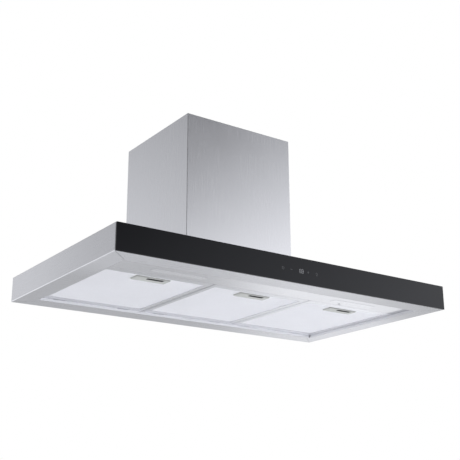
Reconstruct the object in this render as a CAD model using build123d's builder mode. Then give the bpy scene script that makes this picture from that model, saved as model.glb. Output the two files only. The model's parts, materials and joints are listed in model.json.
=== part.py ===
"""Wall-mounted T-shape chimney hood: canopy, grease filters, blower, outlet and chimney."""

from build123d import *
import os
from math import asin, cos, degrees, radians, tan

os.makedirs("parts", exist_ok=True)

# ---------------------------------------------------------------------------
# Frame: x to the right seen from the room, y into the wall, z up, millimetres.
# The origin is on the wall plane (y = 0), at the centre of the wall rail's screws.
# ---------------------------------------------------------------------------

# Canopy
canopy_width = 900.0
canopy_depth = 510.0  # steel body, wall to steel front
canopy_height = 58.0
canopy_sheet = 1.0
corner_radius = 1.5
hang_height = 150.0  # rim to the centre of the wall screws
front_rim = 49.0
back_rim = 56.0
side_rim = 44.0
recess_depth = 6.5  # rim face up to the filters and the lamp panel
lip_height = 24.0
seam_width = 0.4
seam_depth = 0.5
lock_hole_radius = 3.5
lock_hole_spacing = 640.0
lock_hole_height = 36.0
relief_radius = 2.0

# Glass front
glass_thickness = 3.5
glass_chamfer = 0.6
tape_thickness = 0.5
tape_inset = 5.0
tape_width = 8.0

# Controls behind the glass
control_width = 124.0
control_height = 22.0
control_board_thickness = 1.6
control_level = 28.0  # above the rim face
control_cover_depth = 14.0
control_wall = 1.5
control_cover_margin = 8.0
control_cover_rise = 6.0
control_window_margin = 3.0
display_width = 17.0
display_height = 11.0
display_depth = 2.4

# Lamp panel and lamps
lamp_panel_depth = 79.5
lamp_panel_flange = 18.0
lamp_length = 135.0
lamp_width = 22.0
lamp_inset = 205.5  # lamp centre from the canopy's end
lamp_set_back = 50.0  # lamp centre from the panel's front edge
lamp_lens_height = 1.5
lamp_lens_ledge = 3.0
lamp_housing_height = 15.0
lamp_housing_wall = 1.2
lamp_proud = 0.3
led_board_thickness = 1.6
led_strip_inset = 3.0
led_size = 3.0
led_height = 1.0
led_count = 9
led_pitch = 13.0
panel_play = 0.3
panel_screw_head = 2.8
panel_screw_length = 3.0
panel_screw_offset = 218.0
panel_screw_set_back = 69.0

# Grease filters
filter_side_play = 1.0  # outer filters to the side lips
filter_gap = 2.4
filter_height = 9.0
filter_sheet = 1.0
filter_side_border = 12.0
filter_end_border = 19.5
filter_hem_height = 2.5  # hem round the window, which the mesh rests on
filter_corner = 3.0
filter_front_gap = 0.8
filter_mesh_height = 2.0
filter_tab_width = 30.0
filter_tab_offset = 85.0
filter_tab_reach = 5.0  # behind the hinge axis
tab_play = 0.3
tab_side_play = 0.6
hinge_gap = 0.6  # hinge axis in front of the back lip
hinge_set_back = 0.7  # filter's rear face in front of the hinge axis
tab_swing_play = 1.6  # slot above the upturned tab

# Filter handle and latch
handle_width = 84.0
handle_depth = 30.0
handle_proud = 0.5  # plate below the filter frame's face
handle_offset = 46.7  # handle centre from the filter's front edge
handle_corner = 2.0
mesh_play = 0.3
cup_width = 64.0
cup_depth = 26.0
cup_wall = 1.2
cup_height = 4.1
finger_width = 38.0
finger_depth = 12.5
finger_set_back = 3.5  # finger opening from the plate's front edge
latch_sheet = 1.0
latch_width = 68.0
latch_depth = 20.0
latch_travel = 6.0
latch_lip = 1.5
latch_lip_inset = 1.0
tongue_width = 20.0
tongue_play = 0.5
tongue_margin = 1.2  # drawn tongue inside the filter's front wall
slide_gap = 0.1
spring_radius = 1.5
spring_wire = 0.3
spring_pitch = 2.0
spring_end_gap = 0.1

# Filter rails
rail_width = 28.0
rail_sheet = 1.0
rail_web = 10.0
rail_gap = 0.4  # above the filters

# Blower chassis on the canopy
chassis_side_gap = 4.7  # to the chimney's foot
chassis_front_gap = 10.2
blower_foot_gap = 12.0  # under the scroll
chassis_sheet = 1.0
chassis_flange = 12.0
chassis_screw_inset = 40.0
wall_gap = 6.0  # chassis to wall

# Wall rail
wall_rail_width = 240.0
wall_rail_height = 40.0
wall_rail_thickness = 2.0
wall_rail_shelf = 8.0
wall_rail_lip = 10.0
wall_screw_spacing_x = 180.0
wall_screw_spacing_z = 24.0
wall_screw_radius = 4.0
hook_window_width = 250.0
hook_window_drop = 10.0

# Blower
scroll_end_gap = 22.5  # scroll to the chassis, front and back
scroll_step = 8.0  # growth for each quarter turn
scroll_half_width = 62.0
scroll_wall = 2.0
scroll_neck_height = 133.0  # impeller axis to the chassis top
scroll_flange = 9.0
ear_radius = 7.0
ear_half_width = 8.0
ear_offset = 4.6  # ear centre outside the scroll
ear_neck_height = 90.0
impeller_gap = 12.0  # to the scroll, at the tongue
impeller_side_gap = 8.0
inlet_lap = 18.0  # impeller radius less inlet radius
impeller_disc = 2.0
blade_count = 36
blade_depth = 13.0
blade_thickness = 1.0
blade_angle = 38.0
hub_radius = 12.0
hub_half_width = 9.0
shaft_radius = 4.0
shaft_clearance = 0.05
motor_radius = 42.0
motor_hub_gap = 5.0
motor_corner = 4.0
shaft_inset = 6.0  # shaft end inside the motor
bearing_boss_radius = 16.0
bearing_boss_length = 4.0
bracket_thickness = 2.0
bracket_ring_lap = 4.0  # bracket ring beyond the motor
bracket_arm_width = 14.0
bracket_hole_lap = 10.0  # screw circle beyond the inlet
bracket_arms = 3
bracket_turn = 30.0
washer_thickness = 2.0
washer_radius = 7.0

# Outlet
duct_radius = 75.0
duct_wall = 1.5
collar_height = 48.0
collar_margin = 13.0
collar_flange_thickness = 1.2
flap_level_above = 14.0  # underside of the closed flaps above the flange
flap_edge_gap = 0.9
flap_thickness = 1.2
flap_gap = 0.2
flap_knuckle_gap = 0.6
ledge_width = 3.5
ledge_thickness = 1.5
spindle_radius = 1.5
spindle_clearance = 0.05
spindle_inset = 0.4  # spindle ends inside the collar's wall
knuckle_radius = 3.0
knuckle_length = 20.0
knuckle_gap = 0.3

# Chimney
chimney_width = 309.0
chimney_depth = 293.0
chimney_height = 390.5
chimney_sheet = 0.8
chimney_gap = 1.6  # outer to inner cover
chimney_back_flange = 15.0
chimney_foot = 14.0
chimney_bend_radius = 1.2
chimney_screw_inset = 58.6  # from the wall and from the front
inner_cover_drop = 1.0  # inner cover's top below the outer's
bracket_height = 30.0
bracket_sheet = 1.6
bracket_half_width = 130.0
bracket_forward = 40.0
bracket_tab = 16.0
bracket_drop = 14.0  # below the inner cover's top
bracket_play = 0.2
bracket_screw_end = 4.0
bracket_hole_spacing = 200.0
bracket_hole_radius = 3.0

# Power box in the canopy
power_box_width = 150.0
power_box_depth = 110.0
power_box_height = 34.0
power_box_wall = 2.0
power_box_side_gap = 74.0  # to the canopy's side
power_box_back_gap = 160.0  # to the wall
power_box_corner = 3.0
standoff_inset = 15.0
standoff_radius = 3.0
board_margin = 6.0
board_thickness = 1.6
board_standoff = 4.0
transformer_size = (34.0, 32.0, 16.0)
transformer_place = (14.0, 61.0)  # from the box's front left corner
relay_size = (15.0, 20.0, 12.0)
relay_place = (60.0, 71.0)
relay_pitch = 20.0
relay_count = 3
capacitor_radius = 11.0
capacitor_length = 52.0
capacitor_corner = 1.5
capacitor_place = (58.0, 45.0)
terminal_pitch = 12.0
terminal_count = 5
terminal_depth = 18.0
terminal_height = 12.0
terminal_place = (78.0, 15.0)
terminal_hole_radius = 2.0
terminal_hole_depth = 5.0
terminal_row_spacing = 10.0
entry_offsets = {"left": 22.0, "control": 34.0, "right": 46.0}
entry_drop = 17.0  # cable centres below the canopy top
motor_entry_inset = 12.0

# Cable gland on the chassis
gland_bore = 4.5
gland_body = 9.0
gland_head = 11.5
gland_height = 16.0
gland_below = 5.0  # thread under the chassis top
gland_head_height = 6.0
gland_play = 0.1
gland_side_inset = 31.0
gland_back_inset = 39.0

# Screws
screw_shank = 2.0
screw_head = 4.0
screw_head_height = 2.4
flat_head_height = 1.2
screw_clearance = 0.1
foot_screw_end = 3.0

# Harness
cable_radius = 2.0
cable_play = 0.5
bend_share = 0.45  # of the shorter run, taken by a bend
cable_exit = 45.0  # straight run in front of the power box
cable_turn = 85.0  # second bend in front of the power box
cable_rise = 3.0
cable_lean = 0.1
lamp_cable_turn = 35.0  # bend behind the lamp
lamp_cable_offset = 20.0  # cable end beside the lamp's centre
control_cable_rise = 8.0
control_cable_shift = 50.0
control_cable_x = 90.0
control_cable_end = 44.0
control_cable_run = 24.0
# corners of the motor cable, from its entry and from the motor's back
motor_cable_start = [(-30.0, 0.0, 0.0), (-80.0, -24.0, 4.0)]
motor_cable_rise = [(144.0, -105.5, -124.0), (74.0, -109.5, -110.5), (4.0, -107.5, -110.0)]
motor_cable_end = [(-34.0, -87.5, -90.0), (-44.0, -22.0, -48.0), (-48.0, 0.0, 0.0)]

# ---------------------------------------------------------------------------
# Levels and places that follow from the sizes above
# ---------------------------------------------------------------------------
rim_level = -hang_height
top_level = rim_level + canopy_height
ceiling_level = top_level - canopy_sheet  # underside of the canopy top
panel_level = rim_level + recess_depth
half_width = canopy_width / 2
pan_half = half_width - side_rim
pan_front = front_rim - canopy_depth
pan_back = -back_rim
panel_back = pan_front + lamp_panel_depth
lamp_y = pan_front + lamp_set_back
lamp_offset = canopy_width / 2 - lamp_inset  # lamp centre from the middle of the canopy

filter_pitch = 2 * (pan_half - filter_side_play) / 3
filter_width = filter_pitch - filter_gap
filter_front = panel_back + filter_front_gap
hinge_y = pan_back - hinge_gap
hinge_level = panel_level + filter_sheet / 2
filter_back = hinge_y - hinge_set_back
filter_top = panel_level + filter_height
mesh_level = panel_level + filter_hem_height
mesh_top = mesh_level + filter_mesh_height
handle_y = filter_front + handle_offset
handle_front = handle_y - handle_depth / 2
handle_level = panel_level - handle_proud
cup_top = mesh_level + cup_height
latch_level = cup_top + slide_gap
finger_y = handle_front + finger_set_back + finger_depth / 2
finger_back = finger_y + finger_depth / 2
tongue_reach = latch_travel - canopy_sheet - filter_front_gap - tongue_margin
tab_slot_height = filter_tab_reach + tab_swing_play
rail_level = filter_top + rail_gap

foot_half = chimney_width / 2 - chimney_sheet - chimney_foot  # inner edge of the chimney's foot
chassis_width = 2 * (foot_half - chassis_side_gap)
chassis_back = -wall_gap
chassis_front = chimney_sheet + chimney_foot + chassis_front_gap - chimney_depth
scroll_radius = (chassis_back - chassis_front - chassis_sheet - 2 * scroll_end_gap - 3 * scroll_step) / 2
blower_y = chassis_back - chassis_sheet - scroll_end_gap - scroll_radius
neck_width = scroll_radius + 3 * scroll_step
outlet_y = blower_y - neck_width / 2
scroll_bottom = scroll_radius + scroll_step  # below the impeller axis
blower_z = top_level + blower_foot_gap + scroll_bottom
neck_top = blower_z + scroll_neck_height
chassis_top = neck_top + chassis_sheet
impeller_radius = scroll_radius - impeller_gap
impeller_half_width = scroll_half_width - scroll_wall - impeller_side_gap
inlet_radius = impeller_radius - inlet_lap
motor_back = -scroll_half_width - washer_thickness
motor_front = -hub_half_width - motor_hub_gap
bracket_ring_radius = motor_radius + bracket_ring_lap
bracket_hole_circle = inlet_radius + bracket_hole_lap
duct_inner = duct_radius - duct_wall
collar_flange = 2 * (duct_radius + collar_margin)
flap_radius = duct_inner - flap_edge_gap
flap_inner = knuckle_radius + flap_knuckle_gap  # spindle axis to the straight edge of a flap
flap_level = chassis_top + collar_flange_thickness + flap_level_above
spindle_level = flap_level + flap_thickness / 2

inner_width = chimney_width - 2 * (chimney_sheet + chimney_gap)
inner_depth = chimney_depth - 2 * (chimney_sheet + chimney_gap)
inner_back = -(chimney_sheet + chimney_gap)
foot_level = top_level + chimney_sheet
chimney_top = top_level + chimney_height
inner_top = chimney_top - inner_cover_drop
bracket_top = inner_top - bracket_drop
bracket_level = bracket_top - bracket_height / 2

chimney_screw_x = foot_half + chimney_foot / 2 - chimney_gap / 2
chimney_screw_places = [
    (side * chimney_screw_x, y)
    for side in (-1, 1)
    for y in (-chimney_screw_inset, chimney_screw_inset - chimney_depth)
]
chassis_screw_places = [
    (side * (chassis_width / 2 - chassis_flange / 2), y)
    for side in (-1, 1)
    for y in (chassis_back - chassis_screw_inset, chassis_front + chassis_screw_inset)
]

gland_x = chassis_width / 2 - gland_side_inset
gland_y = chassis_back - gland_back_inset
power_box_x = half_width - canopy_sheet - power_box_side_gap - power_box_width / 2
power_box_y = -power_box_back_gap - power_box_depth / 2

filters = {"left": -filter_pitch, "centre": 0.0, "right": filter_pitch}
sides = {"left": -1, "right": 1}


def block(x_span, y_span, z_span, mode=Mode.ADD):
    """Add or cut a box between the given spans in the part being built."""
    with Locations((x_span[0], y_span[0], z_span[0])):
        Box(
            x_span[1] - x_span[0],
            y_span[1] - y_span[0],
            z_span[1] - z_span[0],
            align=(Align.MIN, Align.MIN, Align.MIN),
            mode=mode,
        )


def rod(start, direction, radius, length, mode=Mode.ADD):
    """Add or cut a round rod that runs from start along direction."""
    with BuildSketch(Plane(origin=start, z_dir=direction)) as section:
        Circle(radius)
    extrude(section.sketch, amount=length, mode=mode)


def save(builder, name):
    """Label a finished piece and write its STEP file."""
    builder.part.label = name
    export_step(builder.part, f"parts/{name}.step")


# ---------------------------------------------------------------------------
# Canopy
# ---------------------------------------------------------------------------
with BuildPart() as canopy_shell:
    with BuildSketch(Plane.XY.offset(rim_level)):
        with Locations((0, -canopy_depth / 2)):
            Rectangle(canopy_width, canopy_depth)
    extrude(amount=canopy_height)
    front_corners = canopy_shell.edges().filter_by(Axis.Z).group_by(Axis.Y)[0]
    fillet(front_corners, radius=corner_radius)
    inner_half = half_width - canopy_sheet
    block(
        (-inner_half, inner_half),
        (canopy_sheet - canopy_depth, 0),
        (rim_level + canopy_sheet, ceiling_level),
        mode=Mode.SUBTRACT,
    )
    # upturned lip along the front and the sides of the underside opening
    block(
        (-pan_half - canopy_sheet, pan_half + canopy_sheet),
        (pan_front - canopy_sheet, pan_back),
        (rim_level, rim_level + lip_height),
    )
    lip_span = (rim_level, rim_level + lip_height)
    block((-pan_half, pan_half), (pan_front, 0), lip_span, mode=Mode.SUBTRACT)
    # opening under the blower chassis
    air_half = chassis_width / 2 - chassis_flange
    block(
        (-air_half, air_half),
        (chassis_front + chassis_flange, chassis_back - chassis_flange),
        (ceiling_level, top_level),
        mode=Mode.SUBTRACT,
    )
    # window for the touch board
    with BuildSketch(Plane.XZ.offset(canopy_depth)):
        with Locations((0, rim_level + control_level)):
            Rectangle(control_width + 2 * control_window_margin, control_height + 2 * control_window_margin)
    extrude(amount=-canopy_sheet, mode=Mode.SUBTRACT)
    # mitre seams of the front rim
    for side in sides.values():
        with BuildSketch(Plane.XY.offset(rim_level)):
            with BuildLine():
                Polyline(
                    (side * half_width, -canopy_depth),
                    (side * (half_width - seam_width), -canopy_depth),
                    (side * (pan_half - seam_width), pan_front),
                    (side * pan_half, pan_front),
                    close=True,
                )
            make_face()
        extrude(amount=seam_depth, mode=Mode.SUBTRACT)
    # screws of the chimney foot and the chassis
    with BuildSketch(Plane.XY.offset(ceiling_level)):
        with Locations(*chimney_screw_places, *chassis_screw_places):
            Circle(screw_shank + screw_clearance)
    extrude(amount=canopy_sheet, mode=Mode.SUBTRACT)
save(canopy_shell, "canopy_shell")

with BuildPart() as canopy_back:
    block((-inner_half, inner_half), (-canopy_sheet, 0), (rim_level + canopy_sheet, ceiling_level))
    block((-pan_half, pan_half), (pan_back, 0), (rim_level, rim_level + canopy_sheet))
    block((-pan_half, pan_half), (pan_back, pan_back + canopy_sheet), (rim_level, rim_level + lip_height))
    # slots for the tabs of the filters
    for centre in filters.values():
        for tab_side in sides.values():
            tab_x = centre + tab_side * filter_tab_offset
            slot_half = filter_tab_width / 2 + tab_side_play
            slot_floor = panel_level - tab_play
            block(
                (tab_x - slot_half, tab_x + slot_half),
                (pan_back, pan_back + canopy_sheet),
                (slot_floor, slot_floor + tab_slot_height),
                mode=Mode.SUBTRACT,
            )
    # round relief holes at the ends of the rim
    with BuildSketch(Plane.XY.offset(rim_level)):
        with Locations((-pan_half, pan_back), (pan_half, pan_back)):
            Circle(relief_radius)
    extrude(amount=recess_depth, mode=Mode.SUBTRACT)
    # wall lock screws
    with BuildSketch(Plane.XZ):
        with Locations((0, rim_level + lock_hole_height)):
            with GridLocations(lock_hole_spacing, 0, 2, 1):
                Circle(lock_hole_radius)
    extrude(amount=canopy_sheet, mode=Mode.SUBTRACT)
save(canopy_back, "canopy_back")

# ---------------------------------------------------------------------------
# Glass front and controls
# ---------------------------------------------------------------------------
tape_plane = Plane.XZ.offset(canopy_depth)
glass_plane = Plane.XZ.offset(canopy_depth + tape_thickness)
front_centre = (0, rim_level + canopy_height / 2)

with BuildPart() as glass_tape:
    with BuildSketch(tape_plane):
        with Locations(front_centre):
            Rectangle(canopy_width - 2 * tape_inset, canopy_height - 2 * tape_inset)
            Rectangle(
                canopy_width - 2 * tape_inset - 2 * tape_width,
                canopy_height - 2 * tape_inset - 2 * tape_width,
                mode=Mode.SUBTRACT,
            )
    extrude(amount=tape_thickness)
save(glass_tape, "glass_tape")

with BuildPart() as front_glass:
    with BuildSketch(glass_plane):
        with Locations(front_centre):
            Rectangle(canopy_width, canopy_height)
    extrude(amount=glass_thickness)
    chamfer(front_glass.faces().sort_by(Axis.Y)[0].edges(), length=glass_chamfer)
save(front_glass, "front_glass")

control_z = rim_level + control_level
board_back = canopy_sheet - canopy_depth
display_front = -canopy_depth - tape_thickness

with BuildPart() as touch_board:
    board_front = display_front + display_depth
    block(
        (-control_width / 2, control_width / 2),
        (board_front, board_front + control_board_thickness),
        (control_z - control_height / 2, control_z + control_height / 2),
    )
save(touch_board, "touch_board")

with BuildPart() as display_module:
    block(
        (-display_width / 2, display_width / 2),
        (display_front, board_front),
        (control_z - display_height / 2, control_z + display_height / 2),
    )
save(display_module, "display_module")

with BuildPart() as control_cover:
    cover_front = max(board_back, board_front + control_board_thickness)
    cover_half = control_width / 2 + control_cover_margin
    cover_rise = control_height / 2 + control_cover_rise
    block(
        (-cover_half, cover_half),
        (cover_front, cover_front + control_cover_depth),
        (control_z - cover_rise, control_z + cover_rise),
    )
    block(
        (-cover_half + control_wall, cover_half - control_wall),
        (cover_front + control_wall, cover_front + control_cover_depth - control_wall),
        (control_z - cover_rise + control_wall, control_z + cover_rise - control_wall),
        mode=Mode.SUBTRACT,
    )
    with BuildSketch(Plane.XZ.offset(-cover_front)):
        with Locations((0, control_z)):
            Rectangle(control_width - 2 * control_window_margin, control_height - 2 * control_window_margin)
    extrude(amount=-control_wall, mode=Mode.SUBTRACT)
save(control_cover, "control_cover")

# ---------------------------------------------------------------------------
# Lamp panel and lamps
# ---------------------------------------------------------------------------
panel_half = pan_half - panel_play

with BuildPart() as lamp_panel:
    with BuildSketch(Plane.XY.offset(panel_level)):
        with Locations((0, pan_front + panel_play)):
            Rectangle(2 * panel_half, lamp_panel_depth - panel_play, align=(Align.CENTER, Align.MIN))
        with Locations((-lamp_offset, lamp_y), (lamp_offset, lamp_y)):
            SlotOverall(lamp_length + 2 * panel_play, lamp_width + 2 * panel_play, mode=Mode.SUBTRACT)
        with Locations((panel_screw_offset, pan_front + panel_screw_set_back)):
            Circle(screw_shank + screw_clearance, mode=Mode.SUBTRACT)
    extrude(amount=canopy_sheet)
    block(
        (-panel_half, panel_half),
        (pan_front + panel_play, pan_front + panel_play + canopy_sheet),
        (panel_level, panel_level + lamp_panel_flange),
    )
    block(
        (-panel_half, panel_half),
        (panel_back - canopy_sheet, panel_back),
        (panel_level, panel_level + lamp_panel_flange),
    )
    for centre in filters.values():
        block(
            (centre - tongue_width / 2 - tongue_play, centre + tongue_width / 2 + tongue_play),
            (panel_back - canopy_sheet, panel_back),
            (latch_level - tongue_play, latch_level + latch_sheet + tongue_play),
            mode=Mode.SUBTRACT,
        )
save(lamp_panel, "lamp_panel")

lens_top = panel_level + canopy_sheet + lamp_lens_height
lamp_top = lens_top + lamp_housing_height

with BuildPart() as lamp_lenses:
    for side in sides.values():
        with BuildSketch(Plane.XY.offset(panel_level - lamp_proud)):
            with Locations((side * lamp_offset, lamp_y)):
                SlotOverall(lamp_length, lamp_width)
        extrude(amount=canopy_sheet + lamp_proud)
        with BuildSketch(Plane.XY.offset(panel_level + canopy_sheet)):
            with Locations((side * lamp_offset, lamp_y)):
                SlotOverall(lamp_length + 2 * lamp_lens_ledge, lamp_width + 2 * lamp_lens_ledge)
        extrude(amount=lamp_lens_height)
save(lamp_lenses, "lamp_lenses")

for side_name, side in sides.items():
    with BuildPart() as lamp_housing:
        with BuildSketch(Plane.XY.offset(lens_top)):
            with Locations((side * lamp_offset, lamp_y)):
                SlotOverall(lamp_length + 2 * lamp_lens_ledge, lamp_width + 2 * lamp_lens_ledge)
        extrude(amount=lamp_housing_height)
        with BuildSketch(Plane.XY.offset(lens_top)):
            with Locations((side * lamp_offset, lamp_y)):
                SlotOverall(lamp_length, lamp_width)
        extrude(amount=lamp_housing_height - lamp_housing_wall, mode=Mode.SUBTRACT)
    save(lamp_housing, f"lamp_housing_{side_name}")

with BuildPart() as led_strips:
    board_top = lamp_top - lamp_housing_wall
    for side in sides.values():
        with BuildSketch(Plane.XY.offset(board_top)):
            with Locations((side * lamp_offset, lamp_y)):
                Rectangle(lamp_length - lamp_width, lamp_width - 2 * led_strip_inset)
        extrude(amount=-led_board_thickness)
        with BuildSketch(Plane.XY.offset(board_top - led_board_thickness)):
            with Locations((side * lamp_offset, lamp_y)):
                with GridLocations(led_pitch, 0, led_count, 1):
                    Rectangle(led_size, led_size)
        extrude(amount=-led_height)
save(led_strips, "led_strips")

# ---------------------------------------------------------------------------
# Rails over the filters
# ---------------------------------------------------------------------------
rail_front = panel_back
rail_top = rim_level + lip_height

with BuildPart() as filter_rails:
    for side in sides.values():
        rail_x = side * filter_pitch / 2
        rail_span = (rail_x - rail_width / 2, rail_x + rail_width / 2)
        web_span = (rail_x - rail_sheet / 2, rail_x + rail_sheet / 2)
        block(rail_span, (rail_front, pan_back), (rail_level, rail_level + rail_sheet))
        block(rail_span, (rail_front, rail_front + rail_sheet), (rail_level, rail_top))
        block(rail_span, (pan_back - rail_sheet, pan_back), (rail_level, rail_top))
        block(web_span, (rail_front, pan_back), (rail_level, rail_level + rail_web))
        outer = side * pan_half
        ledge_span = sorted((outer, side * (pan_half - rail_width / 2)))
        upstand_span = sorted((outer, side * (pan_half - rail_sheet)))
        block(ledge_span, (rail_front, pan_back), (rail_level, rail_level + rail_sheet))
        block(upstand_span, (rail_front, pan_back), (rail_level, rail_top))
save(filter_rails, "filter_rails")

# ---------------------------------------------------------------------------
# Grease filters
# ---------------------------------------------------------------------------
for filter_name, centre in filters.items():
    filter_half = filter_width / 2
    pocket_half = filter_half - filter_sheet
    window_half = filter_half - filter_side_border
    window_front = filter_front + filter_end_border
    window_back = filter_back - filter_end_border
    pocket_front = filter_front + filter_sheet
    pocket_back = filter_back - filter_sheet
    tongue_half = tongue_width / 2

    with BuildPart() as filter_frame:
        with BuildSketch(Plane.XY.offset(panel_level)):
            with Locations((centre, (filter_front + filter_back) / 2)):
                RectangleRounded(filter_width, filter_back - filter_front, filter_corner)
        extrude(amount=filter_height)
        block(
            (centre - pocket_half, centre + pocket_half),
            (pocket_front, pocket_back),
            (panel_level + filter_sheet, filter_top - filter_sheet),
            mode=Mode.SUBTRACT,
        )
        hem_half = window_half + filter_sheet
        block(
            (centre - hem_half, centre + hem_half),
            (window_front - filter_sheet, window_back + filter_sheet),
            (panel_level, mesh_level),
        )
        block(
            (centre - window_half, centre + window_half),
            (window_front, window_back),
            (panel_level, filter_top),
            mode=Mode.SUBTRACT,
        )
        block(
            (centre - tongue_half - tongue_play, centre + tongue_half + tongue_play),
            (filter_front, pocket_front),
            (latch_level - tongue_play, latch_level + latch_sheet + tongue_play),
            mode=Mode.SUBTRACT,
        )
        for tab_side in sides.values():
            tab_x = centre + tab_side * filter_tab_offset
            block(
                (tab_x - filter_tab_width / 2, tab_x + filter_tab_width / 2),
                (filter_back - filter_sheet, hinge_y + filter_tab_reach),
                (hinge_level - filter_sheet / 2, hinge_level + filter_sheet / 2),
            )
    save(filter_frame, f"filter_frame_{filter_name}")

    with BuildPart() as filter_mesh:
        block(
            (centre - pocket_half + mesh_play, centre + pocket_half - mesh_play),
            (pocket_front + mesh_play, pocket_back - mesh_play),
            (mesh_level, mesh_top),
        )
        vertical = filter_mesh.edges().filter_by(Axis.Z)
        fillet(vertical, radius=filter_corner)
        block(
            (centre - cup_width / 2 - mesh_play, centre + cup_width / 2 + mesh_play),
            (handle_y - cup_depth / 2 - mesh_play, handle_y + cup_depth / 2 + mesh_play),
            (mesh_level, mesh_top),
            mode=Mode.SUBTRACT,
        )
    save(filter_mesh, f"filter_mesh_{filter_name}")

    with BuildPart() as filter_handle:
        with BuildSketch(Plane.XY.offset(handle_level)):
            with Locations((centre, handle_y)):
                RectangleRounded(handle_width, handle_depth, handle_corner)
            with Locations((centre, finger_y)):
                RectangleRounded(finger_width, finger_depth, handle_corner, mode=Mode.SUBTRACT)
        extrude(amount=mesh_level - handle_level)
        with BuildSketch(Plane.XY.offset(mesh_level)):
            with Locations((centre, handle_y)):
                Rectangle(cup_width, cup_depth)
                Rectangle(cup_width - 2 * cup_wall, cup_depth - 2 * cup_wall, mode=Mode.SUBTRACT)
        extrude(amount=cup_height)
    save(filter_handle, f"filter_handle_{filter_name}")

    with BuildPart() as filter_latch:
        latch_front = handle_front + finger_set_back
        block(
            (centre - latch_width / 2, centre + latch_width / 2),
            (latch_front, latch_front + latch_depth),
            (latch_level, latch_level + latch_sheet),
        )
        block(
            (centre - tongue_half, centre + tongue_half),
            (panel_back - canopy_sheet - tongue_reach, latch_front),
            (latch_level, latch_level + latch_sheet),
        )
        block(
            (centre - finger_width / 2 + latch_lip_inset, centre + finger_width / 2 - latch_lip_inset),
            (finger_back - latch_lip, finger_back),
            (mesh_level + mesh_play, latch_level),
        )
    save(filter_latch, f"filter_latch_{filter_name}")

    with BuildPart() as latch_spring:
        cup_inner_back = handle_y + cup_depth / 2 - cup_wall
        spring_level = (mesh_level + latch_level) / 2
        spring_start = finger_back + spring_wire + spring_end_gap
        spring_end = cup_inner_back - spring_wire - spring_end_gap
        with BuildLine() as coil:
            Helix(
                spring_pitch,
                spring_end - spring_start,
                spring_radius,
                center=(centre, spring_start, spring_level),
                direction=(0, 1, 0),
            )
        with BuildSketch(Plane(origin=coil.line @ 0, z_dir=coil.line % 0)):
            Circle(spring_wire)
        sweep(path=coil.line, is_frenet=True)
    save(latch_spring, f"latch_spring_{filter_name}")

# ---------------------------------------------------------------------------
# Wall rail and blower chassis
# ---------------------------------------------------------------------------
wall_rail_top = wall_rail_height / 2
hook_level = wall_rail_top + wall_rail_thickness

with BuildPart() as wall_rail:
    rail_half = wall_rail_width / 2
    with BuildSketch(Plane.XZ):
        Rectangle(wall_rail_width, wall_rail_height)
        with GridLocations(wall_screw_spacing_x, wall_screw_spacing_z, 2, 2):
            Circle(wall_screw_radius, mode=Mode.SUBTRACT)
    extrude(amount=wall_rail_thickness)
    shelf_front = -wall_rail_thickness - wall_rail_shelf
    block((-rail_half, rail_half), (shelf_front, 0), (wall_rail_top, hook_level))
    block(
        (-rail_half, rail_half),
        (shelf_front, shelf_front + wall_rail_thickness),
        (hook_level, hook_level + wall_rail_lip),
    )
save(wall_rail, "wall_rail")

chassis_half = chassis_width / 2
chassis_centre = (0, (chassis_front + chassis_back) / 2)
chassis_depth = chassis_back - chassis_front

with BuildPart() as chassis_foot:
    with BuildSketch(Plane.XY.offset(top_level)):
        with Locations(chassis_centre):
            Rectangle(chassis_width, chassis_depth)
            Rectangle(
                chassis_width - 2 * chassis_flange, chassis_depth - 2 * chassis_flange, mode=Mode.SUBTRACT
            )
        with Locations(*chassis_screw_places):
            Circle(screw_shank + screw_clearance, mode=Mode.SUBTRACT)
    extrude(amount=chassis_sheet)
save(chassis_foot, "chassis_foot")

with BuildPart() as blower_chassis:
    wall_span = (top_level + chassis_sheet, chassis_top - chassis_sheet)
    block((-chassis_half, chassis_half), (chassis_front, chassis_back), wall_span)
    block(
        (-chassis_half + chassis_sheet, chassis_half - chassis_sheet),
        (chassis_front, chassis_back - chassis_sheet),
        wall_span,
        mode=Mode.SUBTRACT,
    )
    # hook window in the back
    hook_half = hook_window_width / 2
    block(
        (-hook_half, hook_half),
        (chassis_back - chassis_sheet, chassis_back),
        (hook_level - hook_window_drop, hook_level),
        mode=Mode.SUBTRACT,
    )
save(blower_chassis, "blower_chassis")

with BuildPart() as chassis_top_plate:
    with BuildSketch(Plane.XY.offset(chassis_top)):
        with Locations(chassis_centre):
            Rectangle(chassis_width, chassis_depth)
        # blower neck and cable gland
        with Locations((0, outlet_y)):
            Rectangle(
                2 * (scroll_half_width - scroll_wall), neck_width - 2 * scroll_wall, mode=Mode.SUBTRACT
            )
        with Locations((gland_x, gland_y)):
            Circle(gland_body, mode=Mode.SUBTRACT)
    extrude(amount=-chassis_sheet)
save(chassis_top_plate, "chassis_top")

with BuildPart() as chassis_cover:
    with BuildSketch(Plane.XZ.offset(-chassis_front)):
        with Locations((0, (top_level + chassis_top) / 2)):
            Rectangle(chassis_width, chassis_top - top_level)
    extrude(amount=chassis_sheet)
save(chassis_cover, "chassis_cover")

# ---------------------------------------------------------------------------
# Blower
# ---------------------------------------------------------------------------
axis_plane = Plane(origin=(0, blower_y, blower_z), x_dir=(0, 1, 0), z_dir=(1, 0, 0))
bracket_plane = axis_plane.offset(motor_back)


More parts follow.
